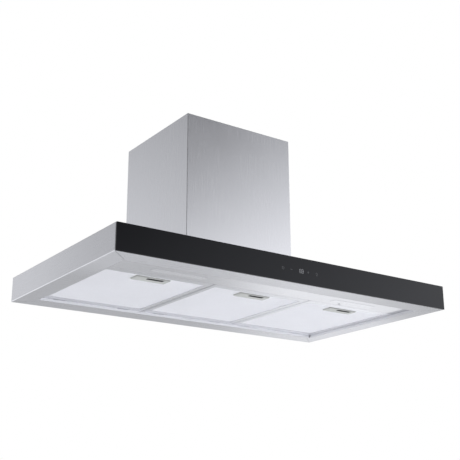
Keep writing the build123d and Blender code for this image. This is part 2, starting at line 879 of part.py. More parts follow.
def scroll_sketch(plane, inset):
    """The scroll's outline on plane, drawn smaller by inset: three quarter arcs and the neck."""
    first_radius = scroll_radius - inset
    second_radius = first_radius + scroll_step
    third_radius = second_radius + scroll_step
    neck_right = -inset
    neck_left = -scroll_step - third_radius
    start_angle = 90 + degrees(asin(inset / first_radius))
    with BuildSketch(plane) as outline:
        with BuildLine():
            first = CenterArc((0, 0), first_radius, start_angle, -start_angle)
            second = CenterArc((-scroll_step, 0), second_radius, 0, -90)
            third = CenterArc((-scroll_step, scroll_step), third_radius, -90, -90)
            Polyline(
                third @ 1,
                (neck_left, scroll_neck_height),
                (neck_right, scroll_neck_height),
                first @ 0,
            )
        make_face()
    return outline.sketch


diagonal = cos(radians(45))
first_ear = (scroll_radius + ear_offset) * diagonal
second_ear = (scroll_radius + scroll_step + ear_offset) * diagonal
third_ear = (scroll_radius + 2 * scroll_step + ear_offset) * diagonal
ear_places = [
    (first_ear, first_ear),
    (second_ear - scroll_step, -second_ear),
    (-third_ear - scroll_step, -third_ear + scroll_step),
    (-neck_width - ear_offset, ear_neck_height),
]

for side_name, side in sides.items():
    with BuildPart() as blower_housing:
        extrude(scroll_sketch(axis_plane, 0), amount=scroll_half_width, dir=(side, 0, 0))
        with BuildSketch(axis_plane) as ears:
            with Locations(*ear_places):
                Circle(ear_radius)
        extrude(ears.sketch, amount=ear_half_width, dir=(side, 0, 0))
        flange_outer = side * (scroll_half_width + scroll_flange)
        block(
            (min(0, flange_outer), max(0, flange_outer)),
            (blower_y - neck_width - scroll_flange, blower_y + scroll_flange),
            (neck_top - scroll_wall, neck_top),
        )
        extrude(
            scroll_sketch(axis_plane, scroll_wall),
            amount=scroll_half_width - scroll_wall,
            dir=(side, 0, 0),
            mode=Mode.SUBTRACT,
        )
        with BuildSketch(axis_plane) as holes:
            Circle(inlet_radius)
            with Locations(*ear_places):
                Circle(screw_shank + screw_clearance)
            with PolarLocations(bracket_hole_circle, bracket_arms, start_angle=bracket_turn):
                Circle(screw_shank + screw_clearance)
        extrude(holes.sketch, amount=scroll_half_width, dir=(side, 0, 0), mode=Mode.SUBTRACT)
    save(blower_housing, f"blower_housing_{side_name}")

with BuildPart() as blower_screws:
    for ear_y, ear_z in ear_places:
        spot = (ear_half_width, blower_y + ear_y, blower_z + ear_z)
        rod(spot, (-1, 0, 0), screw_shank, 2 * ear_half_width)
        rod(spot, (1, 0, 0), screw_head, screw_head_height)
    # three more hold the motor bracket
    head_plane = bracket_plane.offset(-bracket_thickness)
    with BuildSketch(head_plane):
        with PolarLocations(bracket_hole_circle, bracket_arms, start_angle=bracket_turn):
            Circle(screw_head)
    extrude(amount=-screw_head_height)
    with BuildSketch(head_plane):
        with PolarLocations(bracket_hole_circle, bracket_arms, start_angle=bracket_turn):
            Circle(screw_shank)
    extrude(amount=bracket_thickness + washer_thickness + scroll_wall)
save(blower_screws, "blower_screws")

# each blade runs through a slot in the disc, and both its ends meet a ring
with BuildSketch(axis_plane) as blade_ends:
    with PolarLocations(impeller_radius - blade_depth / 2, blade_count):
        Rectangle(blade_depth, blade_thickness, rotation=blade_angle)

with BuildPart() as impeller_hub:
    with BuildSketch(axis_plane):
        Circle(impeller_radius)
    extrude(amount=impeller_disc / 2, both=True)
    with BuildSketch(axis_plane):
        Circle(hub_radius)
    extrude(amount=hub_half_width, both=True)
    extrude(blade_ends.sketch, amount=impeller_disc / 2, both=True, mode=Mode.SUBTRACT)
    with BuildSketch(axis_plane.offset(-hub_half_width)):
        Circle(shaft_radius)
    extrude(amount=2 * hub_half_width, mode=Mode.SUBTRACT)
save(impeller_hub, "impeller_hub")

with BuildPart() as impeller_blades:
    extrude(blade_ends.sketch, amount=impeller_half_width - impeller_disc, both=True)
save(impeller_blades, "impeller_blades")

with BuildPart() as impeller_rings:
    for end in (-1, 1):
        with BuildSketch(axis_plane.offset(end * impeller_half_width)):
            Circle(impeller_radius)
            Circle(impeller_radius - blade_depth, mode=Mode.SUBTRACT)
        extrude(amount=-end * impeller_disc)
save(impeller_rings, "impeller_rings")

with BuildPart() as motor_shaft:
    shaft_start = motor_back + shaft_inset
    rod((shaft_start, blower_y, blower_z), (1, 0, 0), shaft_radius, hub_half_width - shaft_start)
save(motor_shaft, "motor_shaft")

with BuildPart() as motor:
    case_length = motor_front - bearing_boss_length - motor_back
    rod((motor_back, blower_y, blower_z), (1, 0, 0), motor_radius, case_length)
    case_edges = motor.edges().filter_by(GeomType.CIRCLE).group_by(Axis.X)[-1]
    fillet(case_edges, radius=motor_corner)
    rod(
        (motor_front - bearing_boss_length, blower_y, blower_z),
        (1, 0, 0),
        bearing_boss_radius,
        bearing_boss_length,
    )
    rod(
        (shaft_start - shaft_clearance, blower_y, blower_z),
        (1, 0, 0),
        shaft_radius + shaft_clearance,
        motor_front - shaft_start + shaft_clearance,
        mode=Mode.SUBTRACT,
    )
save(motor, "motor")

with BuildPart() as motor_bracket:
    with BuildSketch(bracket_plane):
        Circle(bracket_ring_radius)
        with PolarLocations(bracket_hole_circle / 2, bracket_arms, start_angle=bracket_turn):
            Rectangle(bracket_hole_circle, bracket_arm_width)
        with PolarLocations(bracket_hole_circle, bracket_arms, start_angle=bracket_turn):
            Circle(bracket_arm_width / 2)
        Circle(bearing_boss_radius, mode=Mode.SUBTRACT)
        with PolarLocations(bracket_hole_circle, bracket_arms, start_angle=bracket_turn):
            Circle(screw_shank + screw_clearance, mode=Mode.SUBTRACT)
    extrude(amount=-bracket_thickness)
save(motor_bracket, "motor_bracket")

with BuildPart() as motor_washers:
    with BuildSketch(bracket_plane):
        with PolarLocations(bracket_hole_circle, bracket_arms, start_angle=bracket_turn):
            Circle(washer_radius)
        with PolarLocations(bracket_hole_circle, bracket_arms, start_angle=bracket_turn):
            Circle(screw_shank + screw_clearance, mode=Mode.SUBTRACT)
    extrude(amount=washer_thickness)
save(motor_washers, "motor_washers")

# ---------------------------------------------------------------------------
# Outlet collar and non-return flaps
# ---------------------------------------------------------------------------
with BuildPart() as outlet_collar:
    with BuildSketch(Plane.XY.offset(chassis_top)):
        with Locations((0, outlet_y)):
            Rectangle(collar_flange, collar_flange)
            Circle(duct_inner, mode=Mode.SUBTRACT)
    extrude(amount=collar_flange_thickness)
    with BuildSketch(Plane.XY.offset(chassis_top)):
        with Locations((0, outlet_y)):
            Circle(duct_radius)
            Circle(duct_inner, mode=Mode.SUBTRACT)
    extrude(amount=collar_flange_thickness + collar_height)
    with BuildSketch(Plane.XY.offset(flap_level - flap_gap)):
        with Locations((0, outlet_y)):
            Circle(duct_inner)
            Circle(duct_inner - ledge_width, mode=Mode.SUBTRACT)
    extrude(amount=-ledge_thickness)
    rod(
        (-duct_radius, outlet_y, spindle_level),
        (1, 0, 0),
        spindle_radius + spindle_clearance,
        2 * duct_radius,
        mode=Mode.SUBTRACT,
    )
save(outlet_collar, "outlet_collar")

with BuildPart() as damper_spindle:
    spindle_half = duct_radius - spindle_inset
    rod((-spindle_half, outlet_y, spindle_level), (1, 0, 0), spindle_radius, 2 * spindle_half)
save(damper_spindle, "damper_spindle")

for flap_name, facing, first_knuckle in (("front", -1, -2), ("rear", 1, -1)):
    with BuildPart() as damper_flap:
        with BuildSketch(Plane.XY.offset(flap_level)):
            with Locations((0, outlet_y)):
                Circle(flap_radius)
            # the other half, and the strip over the spindle, are cut away
            with Locations((0, outlet_y + facing * (flap_inner - duct_radius))):
                Rectangle(2 * duct_radius, 2 * duct_radius, mode=Mode.SUBTRACT)
        extrude(amount=flap_thickness)
        for number in (first_knuckle, first_knuckle + 2):
            knuckle_start = number * knuckle_length + knuckle_gap / 2
            knuckle_end = (number + 1) * knuckle_length - knuckle_gap / 2
            web_span = sorted((outlet_y, outlet_y + facing * flap_inner))
            rod(
                (knuckle_start, outlet_y, spindle_level),
                (1, 0, 0),
                knuckle_radius,
                knuckle_end - knuckle_start,
            )
            block((knuckle_start, knuckle_end), web_span, (flap_level, flap_level + flap_thickness))
        rod(
            (-duct_radius, outlet_y, spindle_level),
            (1, 0, 0),
            spindle_radius + spindle_clearance,
            2 * duct_radius,
            mode=Mode.SUBTRACT,
        )
    save(damper_flap, f"damper_flap_{flap_name}")

# ---------------------------------------------------------------------------
# Chimney covers
# ---------------------------------------------------------------------------
with BuildPart() as chimney_outer:
    with BuildSketch(Plane.XY.offset(top_level)):
        with Locations((0, -chimney_depth / 2)):
            Rectangle(chimney_width, chimney_depth)
    extrude(amount=chimney_height)
    bends = chimney_outer.edges().filter_by(Axis.Z).group_by(Axis.Y)[0]
    fillet(bends, radius=chimney_bend_radius)
    cover_inner = chimney_width / 2 - chimney_sheet
    block(
        (-cover_inner, cover_inner),
        (chimney_sheet - chimney_depth, -chimney_sheet),
        (foot_level, chimney_top),
        mode=Mode.SUBTRACT,
    )
    # the back is open between its two flanges, and the foot is three narrow flanges
    back_open = chimney_width / 2 - chimney_back_flange
    block(
        (-back_open, back_open),
        (chimney_sheet + chimney_foot - chimney_depth, 0),
        (top_level, chimney_top),
        mode=Mode.SUBTRACT,
    )
    with BuildSketch(Plane.XY.offset(top_level)):
        with Locations(*chimney_screw_places):
            Circle(screw_shank + screw_clearance)
    extrude(amount=chimney_sheet, mode=Mode.SUBTRACT)
save(chimney_outer, "chimney_outer")

with BuildPart() as canopy_screws:
    foot_places = chimney_screw_places + chassis_screw_places
    with BuildSketch(Plane.XY.offset(ceiling_level)):
        with Locations(*foot_places):
            Circle(screw_head)
    extrude(amount=-screw_head_height)
    with BuildSketch(Plane.XY.offset(ceiling_level)):
        with Locations(*foot_places):
            Circle(screw_shank)
    extrude(amount=canopy_sheet + chassis_sheet + foot_screw_end)
    # one more holds the lamp panel
    screw_spot = (panel_screw_offset, pan_front + panel_screw_set_back, panel_level)
    rod(screw_spot, (0, 0, -1), panel_screw_head, flat_head_height)
    rod(screw_spot, (0, 0, 1), screw_shank, panel_screw_length)
save(canopy_screws, "canopy_screws")

with BuildPart() as chimney_inner:
    with BuildSketch(Plane.XY.offset(foot_level)):
        with Locations((0, inner_back - inner_depth / 2)):
            Rectangle(inner_width, inner_depth)
    extrude(amount=inner_top - foot_level)
    inner_bends = chimney_inner.edges().filter_by(Axis.Z).group_by(Axis.Y)[0]
    fillet(inner_bends, radius=chimney_bend_radius)
    inner_half_width = inner_width / 2
    wall_half = inner_half_width - chimney_sheet
    block(
        (-wall_half, wall_half),
        (inner_back - inner_depth + chimney_sheet, inner_back - chimney_sheet),
        (foot_level, inner_top),
        mode=Mode.SUBTRACT,
    )
    inner_open = inner_half_width - chimney_back_flange
    block(
        (-inner_open, inner_open),
        (inner_back - chimney_sheet, inner_back),
        (foot_level, inner_top),
        mode=Mode.SUBTRACT,
    )
    rod(
        (-inner_half_width, -bracket_forward - bracket_tab / 2, bracket_level),
        (1, 0, 0),
        screw_shank + screw_clearance,
        inner_width,
        mode=Mode.SUBTRACT,
    )
save(chimney_inner, "chimney_inner")

with BuildPart() as chimney_bracket:
    tab_half = wall_half - bracket_play
    with BuildSketch(Plane.XY.offset(bracket_top)):
        with BuildLine():
            route = Polyline(
                (-tab_half + bracket_sheet / 2, -bracket_forward - bracket_tab),
                (-tab_half + bracket_sheet / 2, -bracket_forward),
                (-bracket_half_width, -bracket_forward),
                (-bracket_half_width, -bracket_sheet / 2),
                (bracket_half_width, -bracket_sheet / 2),
                (bracket_half_width, -bracket_forward),
                (tab_half - bracket_sheet / 2, -bracket_forward),
                (tab_half - bracket_sheet / 2, -bracket_forward - bracket_tab),
            )
        trace(route, line_width=bracket_sheet)
    extrude(amount=-bracket_height)
    with BuildSketch(Plane.XZ) as wall_holes:
        with Locations((0, bracket_level)):
            with GridLocations(bracket_hole_spacing, 0, 2, 1):
                Circle(bracket_hole_radius)
    extrude(wall_holes.sketch, amount=bracket_sheet, mode=Mode.SUBTRACT)
    rod(
        (-tab_half, -bracket_forward - bracket_tab / 2, bracket_level),
        (1, 0, 0),
        screw_shank + screw_clearance,
        2 * tab_half,
        mode=Mode.SUBTRACT,
    )
save(chimney_bracket, "chimney_bracket")

with BuildPart() as chimney_bracket_screws:
    for side in sides.values():
        spot = (side * inner_half_width, -bracket_forward - bracket_tab / 2, bracket_level)
        rod(spot, (side, 0, 0), screw_head, flat_head_height)
        rod(spot, (-side, 0, 0), screw_shank, chimney_sheet + bracket_sheet + bracket_screw_end)
save(chimney_bracket_screws, "chimney_bracket_screws")

# ---------------------------------------------------------------------------
# Power box and cable gland
# ---------------------------------------------------------------------------
box_left = power_box_x - power_box_width / 2
box_right = power_box_x + power_box_width / 2
box_front = power_box_y - power_box_depth / 2
box_rear = power_box_y + power_box_depth / 2
box_floor = ceiling_level - power_box_height
board_level = ceiling_level - power_box_wall - board_standoff
parts_level = board_level - board_thickness
transformer_left = box_left + transformer_place[0]
transformer_front = box_front + transformer_place[1]
motor_entry_y = transformer_front + motor_entry_inset
cable_level = ceiling_level - entry_drop
entry_radius = cable_radius + cable_play

with BuildPart() as power_box:
    block((box_left, box_right), (box_front, box_rear), (box_floor + power_box_wall, ceiling_level))
    block(
        (box_left + power_box_wall, box_right - power_box_wall),
        (box_front + power_box_wall, box_rear - power_box_wall),
        (box_floor + power_box_wall, ceiling_level - power_box_wall),
        mode=Mode.SUBTRACT,
    )
    # standoffs of the board
    with BuildSketch(Plane.XY.offset(ceiling_level - power_box_wall)):
        with Locations((power_box_x, power_box_y)):
            with GridLocations(
                power_box_width - 2 * standoff_inset, power_box_depth - 2 * standoff_inset, 2, 2
            ):
                Circle(standoff_radius)
    extrude(amount=-board_standoff)
    # cable entries: motor on the left, lamps and controls at the front
    with BuildSketch(Plane.YZ.offset(box_left)):
        with Locations((motor_entry_y, cable_level)):
            Circle(entry_radius)
    extrude(amount=power_box_wall, mode=Mode.SUBTRACT)
    with BuildSketch(Plane.XZ.offset(-box_front)):
        with Locations(*[(box_left + offset, cable_level) for offset in entry_offsets.values()]):
            Circle(entry_radius)
    extrude(amount=-power_box_wall, mode=Mode.SUBTRACT)
save(power_box, "power_box")

with BuildPart() as power_box_lid:
    with BuildSketch(Plane.XY.offset(box_floor)):
        with Locations((power_box_x, power_box_y)):
            RectangleRounded(power_box_width, power_box_depth, power_box_corner)
    extrude(amount=power_box_wall)
save(power_box_lid, "power_box_lid")

with BuildPart() as power_board:
    board_half_x = power_box_width / 2 - power_box_wall - board_margin
    board_half_y = power_box_depth / 2 - power_box_wall - board_margin
    with BuildSketch(Plane.XY.offset(board_level)):
        with Locations((power_box_x, power_box_y)):
            Rectangle(2 * board_half_x, 2 * board_half_y)
    extrude(amount=-board_thickness)
    block(
        (transformer_left, transformer_left + transformer_size[0]),
        (transformer_front, transformer_front + transformer_size[1]),
        (parts_level - transformer_size[2], parts_level),
    )
    for number in range(relay_count):
        relay_left = box_left + relay_place[0] + number * relay_pitch
        relay_front = box_front + relay_place[1]
        block(
            (relay_left, relay_left + relay_size[0]),
            (relay_front, relay_front + relay_size[1]),
            (parts_level - relay_size[2], parts_level),
        )
save(power_board, "power_board")

with BuildPart() as motor_capacitor:
    capacitor_start = (
        box_left + capacitor_place[0],
        box_front + capacitor_place[1],
        parts_level - capacitor_radius,
    )
    rod(capacitor_start, (1, 0, 0), capacitor_radius, capacitor_length)
    fillet(motor_capacitor.edges().filter_by(GeomType.CIRCLE), radius=capacitor_corner)
save(motor_capacitor, "motor_capacitor")

with BuildPart() as terminal_block:
    terminal_left = box_left + terminal_place[0]
    terminal_front = box_front + terminal_place[1]
    terminal_length = terminal_count * terminal_pitch
    block(
        (terminal_left, terminal_left + terminal_length),
        (terminal_front, terminal_front + terminal_depth),
        (parts_level - terminal_height, parts_level),
    )
    with BuildSketch(Plane.XY.offset(parts_level - terminal_height)):
        with Locations((terminal_left + terminal_length / 2, terminal_front + terminal_depth / 2)):
            with GridLocations(terminal_pitch, terminal_row_spacing, terminal_count, 2):
                Circle(terminal_hole_radius)
    extrude(amount=terminal_hole_depth, mode=Mode.SUBTRACT)
save(terminal_block, "terminal_block")

gland_level = chassis_top - chassis_sheet - gland_below

with BuildPart() as cable_gland:
    with BuildSketch(Plane.XY.offset(gland_level)):
        with Locations((gland_x, gland_y)):
            Circle(gland_body - gland_play)
    extrude(amount=gland_height)
    with BuildSketch(Plane.XY.offset(chassis_top)):
        with Locations((gland_x, gland_y)):
            RegularPolygon(gland_head, 6)
    extrude(amount=gland_head_height)
    with BuildSketch(Plane.XY.offset(gland_level)):
        with Locations((gland_x, gland_y)):
            Circle(gland_bore)
    extrude(amount=gland_height, mode=Mode.SUBTRACT)
save(cable_gland, "cable_gland")

# ---------------------------------------------------------------------------
# Harness: each cable is held at both ends
# ---------------------------------------------------------------------------


def cable(points):
    """Add a round cable along points, with each bend as wide as its two runs allow."""
    corners = [Vector(point) for point in points]
    radii = []
    for before, corner, after in zip(corners, corners[1:], corners[2:]):
        turn = (corner - before).get_angle(after - corner)
        run = min((corner - before).length, (after - corner).length)
        radii.append(bend_share * run / tan(radians(turn / 2)))
    with BuildLine() as route:
        FilletPolyline(*points, radius=radii)
    with BuildSketch(Plane(origin=route.wire() @ 0, z_dir=route.wire() % 0)) as section:
        Circle(cable_radius)
    sweep(section.sketch, path=route.wire())


with BuildPart() as motor_cable:
    motor_end = Vector(motor_back, blower_y, blower_z)
    cable(
        [Vector(transformer_left, motor_entry_y, cable_level)]
        + [Vector(box_left, motor_entry_y, cable_level) + Vector(step) for step in motor_cable_start]
        + [motor_end + Vector(step) for step in motor_cable_rise + motor_cable_end]
        + [motor_end]
    )
save(motor_cable, "motor_cable")

with BuildPart() as signal_cables:
    for side_name, side in sides.items():
        entry_x = box_left + entry_offsets[side_name]
        end_x = side * lamp_offset + lamp_cable_offset
        lean = cable_lean * (end_x - entry_x)
        cable(
            [
                (entry_x, transformer_front, cable_level),
                (entry_x, box_front - cable_exit, cable_level),
                (entry_x + lean, box_front - cable_turn, cable_level + cable_rise),
                (end_x - lean, lamp_y + lamp_cable_turn, cable_level + cable_rise),
                (end_x, lamp_y, cable_level),
                (end_x, lamp_y, lamp_top),
            ]
        )
    cover_back = cover_front + control_cover_depth
    control_level_above = cable_level + control_cable_rise
    entry_x = box_left + entry_offsets["control"]
    cable(
        [
            (entry_x, transformer_front, cable_level),
            (entry_x, box_front - cable_exit, cable_level),
            (entry_x - control_cable_shift, box_front - cable_turn, control_level_above),
            (control_cable_x, lamp_y, control_level_above),
            (control_cable_end, cover_back + control_cable_run, cable_level),
            (control_cable_end, cover_back, cable_level),
        ]
    )
save(signal_cables, "signal_cables")
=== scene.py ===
"""Studio scene of a wall-mounted chimney hood with a black glass front.

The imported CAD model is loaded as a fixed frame. This script dresses its nodes in
procedural finishes, adds the fine pieces that only show up close and sets the
camera, the lamps and the floor. Lengths are in metres.
"""

import json
import logging
import math
from collections.abc import Callable, Iterator
from contextlib import contextmanager
from dataclasses import dataclass, field
from enum import Enum

import bpy
from mathutils import Matrix, Vector


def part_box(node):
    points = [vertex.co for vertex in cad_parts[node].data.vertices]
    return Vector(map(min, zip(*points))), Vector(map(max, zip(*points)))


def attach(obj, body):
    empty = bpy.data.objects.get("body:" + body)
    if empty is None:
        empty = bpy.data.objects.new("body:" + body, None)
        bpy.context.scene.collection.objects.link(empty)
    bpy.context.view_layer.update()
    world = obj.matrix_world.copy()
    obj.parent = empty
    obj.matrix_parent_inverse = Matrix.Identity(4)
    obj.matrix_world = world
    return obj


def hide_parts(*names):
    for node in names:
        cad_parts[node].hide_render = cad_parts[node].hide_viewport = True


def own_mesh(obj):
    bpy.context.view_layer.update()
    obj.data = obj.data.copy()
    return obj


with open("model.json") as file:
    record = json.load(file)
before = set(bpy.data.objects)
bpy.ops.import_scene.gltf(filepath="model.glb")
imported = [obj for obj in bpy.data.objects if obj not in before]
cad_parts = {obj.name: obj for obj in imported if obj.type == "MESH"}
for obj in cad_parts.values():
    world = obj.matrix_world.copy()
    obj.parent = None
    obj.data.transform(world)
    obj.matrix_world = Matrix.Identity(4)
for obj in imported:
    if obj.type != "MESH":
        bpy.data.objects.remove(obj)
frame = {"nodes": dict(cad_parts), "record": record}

LOG = logging.getLogger("hood")
MM = 0.001
TINY = 1e-6  # places that are closer than this are the same
THROUGH = 50.0 * MM  # height of a cutter that goes right through

Piece = bpy.types.Object
Material = bpy.types.Material
Socket = bpy.types.NodeSocket
Triple = tuple[float, float, float]
Value = Socket | float | tuple[float, ...]


class Bay(Enum):
    """The three filter bays."""

    LEFT = "left"
    CENTRE = "centre"
    RIGHT = "right"

    def of(self, stem: str) -> str:
        """Name of this bay's piece, node, body or joint."""
        return f"{stem}_{self.value}"


class Grain(Enum):
    """How the brushing of a sheet runs: level all round, or upright."""

    LEVEL = "level"
    UPRIGHT = "upright"


# Modelling helpers


def deselect_all() -> None:
    """Leave nothing selected and no edit mode open."""
    if bpy.context.mode != "OBJECT":
        bpy.ops.object.mode_set(mode="OBJECT")
    bpy.ops.object.select_all(action="DESELECT")


def activate(piece: Piece) -> None:
    """Select only this piece and make it active.

    Args:
        piece: The object to work on.
    """
    deselect_all()
    piece.select_set(True)
    bpy.context.view_layer.objects.active = piece


@contextmanager
def editing(
    piece: Piece, kind: str = "VERT", keep: Callable[[list[Vector]], bool] | None = None
) -> Iterator[None]:
    """Open a mesh for edit operators, with all of it selected or only what a test picks.

    Args:
        piece: The mesh object.
        kind: Select mode, which is EDGE or FACE where a test picks edges or faces.
        keep: Given the corners of an edge or a face, says whether it is selected.

    Yields:
        Nothing, while edit mode is open.
    """
    activate(piece)
    bpy.ops.object.mode_set(mode="EDIT")
    bpy.ops.mesh.select_mode(type=kind)
    bpy.ops.mesh.select_all(action="DESELECT" if keep else "SELECT")
    if keep:
        bpy.ops.object.mode_set(mode="OBJECT")
        mesh = piece.data
        for part in mesh.edges if kind == "EDGE" else mesh.polygons:
            part.select = keep([mesh.vertices[i].co for i in part.vertices])
        bpy.ops.object.mode_set(mode="EDIT")
    yield
    bpy.ops.object.mode_set(mode="OBJECT")


def modify(piece: Piece, kind: str, **settings: object) -> None:
    """Add a modifier to a piece and apply it.

    Args:
        piece: The mesh object.
        kind: Blender's name of the modifier type.
        **settings: Attributes of the modifier.
    """
    activate(piece)
    modifier = piece.modifiers.new(kind, kind)
    for key, value in settings.items():
        setattr(modifier, key, value)
    bpy.ops.object.modifier_apply(modifier=modifier.name)


def keep_primitive(name: str) -> Piece:
    """Name the primitive that was just added, and put its size and place into its mesh.

    Args:
        name: Object name.

    Returns:
        The object.
    """
    piece = bpy.context.object
    piece.name = name
    bpy.ops.object.transform_apply(location=True, rotation=True, scale=True)
    return piece


def add_block(name: str, size: Vector, centre: Vector) -> Piece:
    """Add a box.

    Args:
        name: Object name.
        size: Full size along x, y and z.
        centre: Its centre.

    Returns:
        The new object.
    """
    deselect_all()
    bpy.ops.mesh.primitive_cube_add(size=1.0, location=centre)
    bpy.context.object.scale = size
    return keep_primitive(name)


def add_rod(name: str, radius: float, height: float, level: float, corners: int) -> Piece:
    """Add an upright round bar on the z axis.

    Args:
        name: Object name.
        radius: Its radius.
        height: Its length.
        level: z of its middle.
        corners: Number of sides.

    Returns:
        The new object.
    """
    deselect_all()
    place = (0.0, 0.0, level)
    bpy.ops.mesh.primitive_cylinder_add(vertices=corners, radius=radius, depth=height, location=place)
    return keep_primitive(name)


def upright(ends: list[Vector]) -> bool:
    """Whether an edge runs along z."""
    step = ends[1] - ends[0]
    return abs(step.x) < TINY and abs(step.y) < TINY


def bevel_edges(piece: Piece, keep: Callable[[list[Vector]], bool], width: float, segments: int) -> None:
    """Bevel the edges that a test picks.

    Args:
        piece: The mesh object.
        keep: Given an edge's two ends, says whether the edge is bevelled.
        width: Bevel width.
        segments: Bevel segments.
    """
    with editing(piece, "EDGE", keep):
        bpy.ops.mesh.bevel(offset=width, segments=segments, affect="EDGES", clamp_overlap=True)


def cut(piece: Piece, cutter: Piece) -> None:
    """Cut one closed mesh out of another, drop the cutter and clean up the cut.

    Args:
        piece: The mesh that stays.
        cutter: The mesh that is cut away and removed.
    """
    modify(piece, "BOOLEAN", operation="DIFFERENCE", solver="EXACT", object=cutter)
    bpy.data.objects.remove(cutter, do_unlink=True)
    with editing(piece):
        bpy.ops.mesh.remove_doubles(threshold=TINY)
        bpy.ops.mesh.dissolve_degenerate(threshold=TINY)


def join(pieces: list[Piece], name: str) -> Piece:
    """Join meshes into one object.

    Args:
        pieces: The objects to join. The first one is kept.
        name: Name of the joined object.

    Returns:
        The joined object.
    """
    activate(pieces[0])
    for piece in pieces[1:]:
        piece.select_set(True)
    if len(pieces) > 1:
        bpy.ops.object.join()
    pieces[0].name = name
    return pieces[0]


def copy_moved(piece: Piece, name: str, shift: Vector) -> Piece:
    """Copy a piece with a mesh of its own, and move that mesh.

    Args:
        piece: The object to copy.
        name: Name of the copy.
        shift: How far the mesh moves.

    Returns:
        The copy.
    """
    twin = piece.copy()
    twin.data = piece.data.copy()
    twin.name = name
    twin.data.transform(Matrix.Translation(shift))
    bpy.context.scene.collection.objects.link(twin)
    return twin


def loose_parts(node: Piece) -> list[list[Vector]]:
    """Corners of each separate solid of a CAD node.

    Args:
        node: The node's object, which is left as it is.

    Returns:
        A list of corners for each solid.
    """
    twin = copy_moved(node, "solids", Vector())
    with editing(twin):
        bpy.ops.mesh.remove_doubles(threshold=TINY)
        bpy.ops.mesh.separate(type="LOOSE")
    solids = list(bpy.context.selected_objects)
    corners = [[vertex.co.copy() for vertex in solid.data.vertices] for solid in solids]
    for solid in solids:
        bpy.data.objects.remove(solid, do_unlink=True)
    return sorted(corners, key=lambda points: tuple(points[0]))


def body_of(node: str) -> str:
    """Name of the body that a CAD node belongs to."""
    bodies = frame["record"]["behaviour"]["bodies"]
    return next(body for body, nodes in bodies.items() if node in nodes)


def smooth(piece: Piece, angle: float = 30.0) -> None:
    """Shade a piece smooth, with edges sharper than an angle kept crisp.

    Args:
        piece: The mesh object.
        angle: The angle in degrees.
    """
    activate(piece)
    bpy.ops.object.shade_smooth_by_angle(angle=math.radians(angle))


def dress(piece: Piece, material: Material) -> None:
    """Give a piece its finish, in place of any other.

    Args:
        piece: The object.
        material: Its finish.
    """
    piece.data.materials.clear()
    piece.data.materials.append(material)


# Node trees


class NodeNet:
    """A node tree with short ways to add what its users share."""

    def __init__(self, tree: bpy.types.NodeTree) -> None:
        """Work on a node tree."""
        self.tree = tree

    def add(
        self, kind: str, sockets: dict[str | int, Value] | None = None, **settings: object
    ) -> bpy.types.Node:
        """Add a node.

        Args:
            kind: Blender's name of the node type, without its first part, ShaderNode.
            sockets: What feeds the node's sockets, by name or number.
            **settings: Attributes of the node.

        Returns:
            The new node.
        """
        node = self.tree.nodes.new(f"ShaderNode{kind}")
        for key, value in settings.items():
            setattr(node, key, value)
        self.feed(node, sockets or {})
        return node

    def feed(self, node: bpy.types.Node, sockets: dict[str | int, Value]) -> None:
        """Feed a node's sockets from other sockets or with plain values.

        Args:
            node: The node.
            sockets: What feeds its sockets, by name or number.
        """
        for key, value in sockets.items():
            if isinstance(value, Socket):
                self.tree.links.new(value, node.inputs[key])
            else:
                node.inputs[key].default_value = value

    def maths(self, operation: str, *values: Value) -> Socket:
        """Work out one number from others.

        Args:
            operation: Name of the operation.
            *values: Sockets or plain numbers.

        Returns:
            The result socket.
        """
        return self.add("Math", dict(enumerate(values)), operation=operation).outputs[0]

    def ranged(self, value: Socket, low: float, high: float, start: float = 0.3, end: float = 0.7) -> Socket:
        """A number that goes smoothly from one number to another, by a value.

        Args:
            value: The value that is mapped.
            low: Result at start.
            high: Result at end.
            start: Value that gives low.
            end: Value that gives high.

        Returns:
            The result socket.
        """
        sockets = {"Value": value, "From Min": start, "From Max": end, "To Min": low, "To Max": high}
        return self.add("MapRange", sockets, interpolation_type="SMOOTHSTEP").outputs["Result"]

    def blend(self, factor: Socket, first: Value, second: Value) -> Socket:
        """Mix two numbers by a factor.

        Args:
            factor: 0 gives the first number and 1 the second.
            first: First number.
            second: Second number.

        Returns:
            The mixed number's socket.
        """
        return self.add("Mix", {0: factor, 2: first, 3: second}).outputs[0]

    def split(self, vector: Socket) -> tuple[Socket, ...]:
        """The x, y and z of a vector."""
        return tuple(self.add("SeparateXYZ", {0: vector}).outputs)

    def lean(self, direction: Socket, along: Triple) -> Socket:
        """The dot product of a direction and a fixed vector."""
        return self.add("VectorMath", {0: direction, 1: along}, operation="DOT_PRODUCT").outputs["Value"]


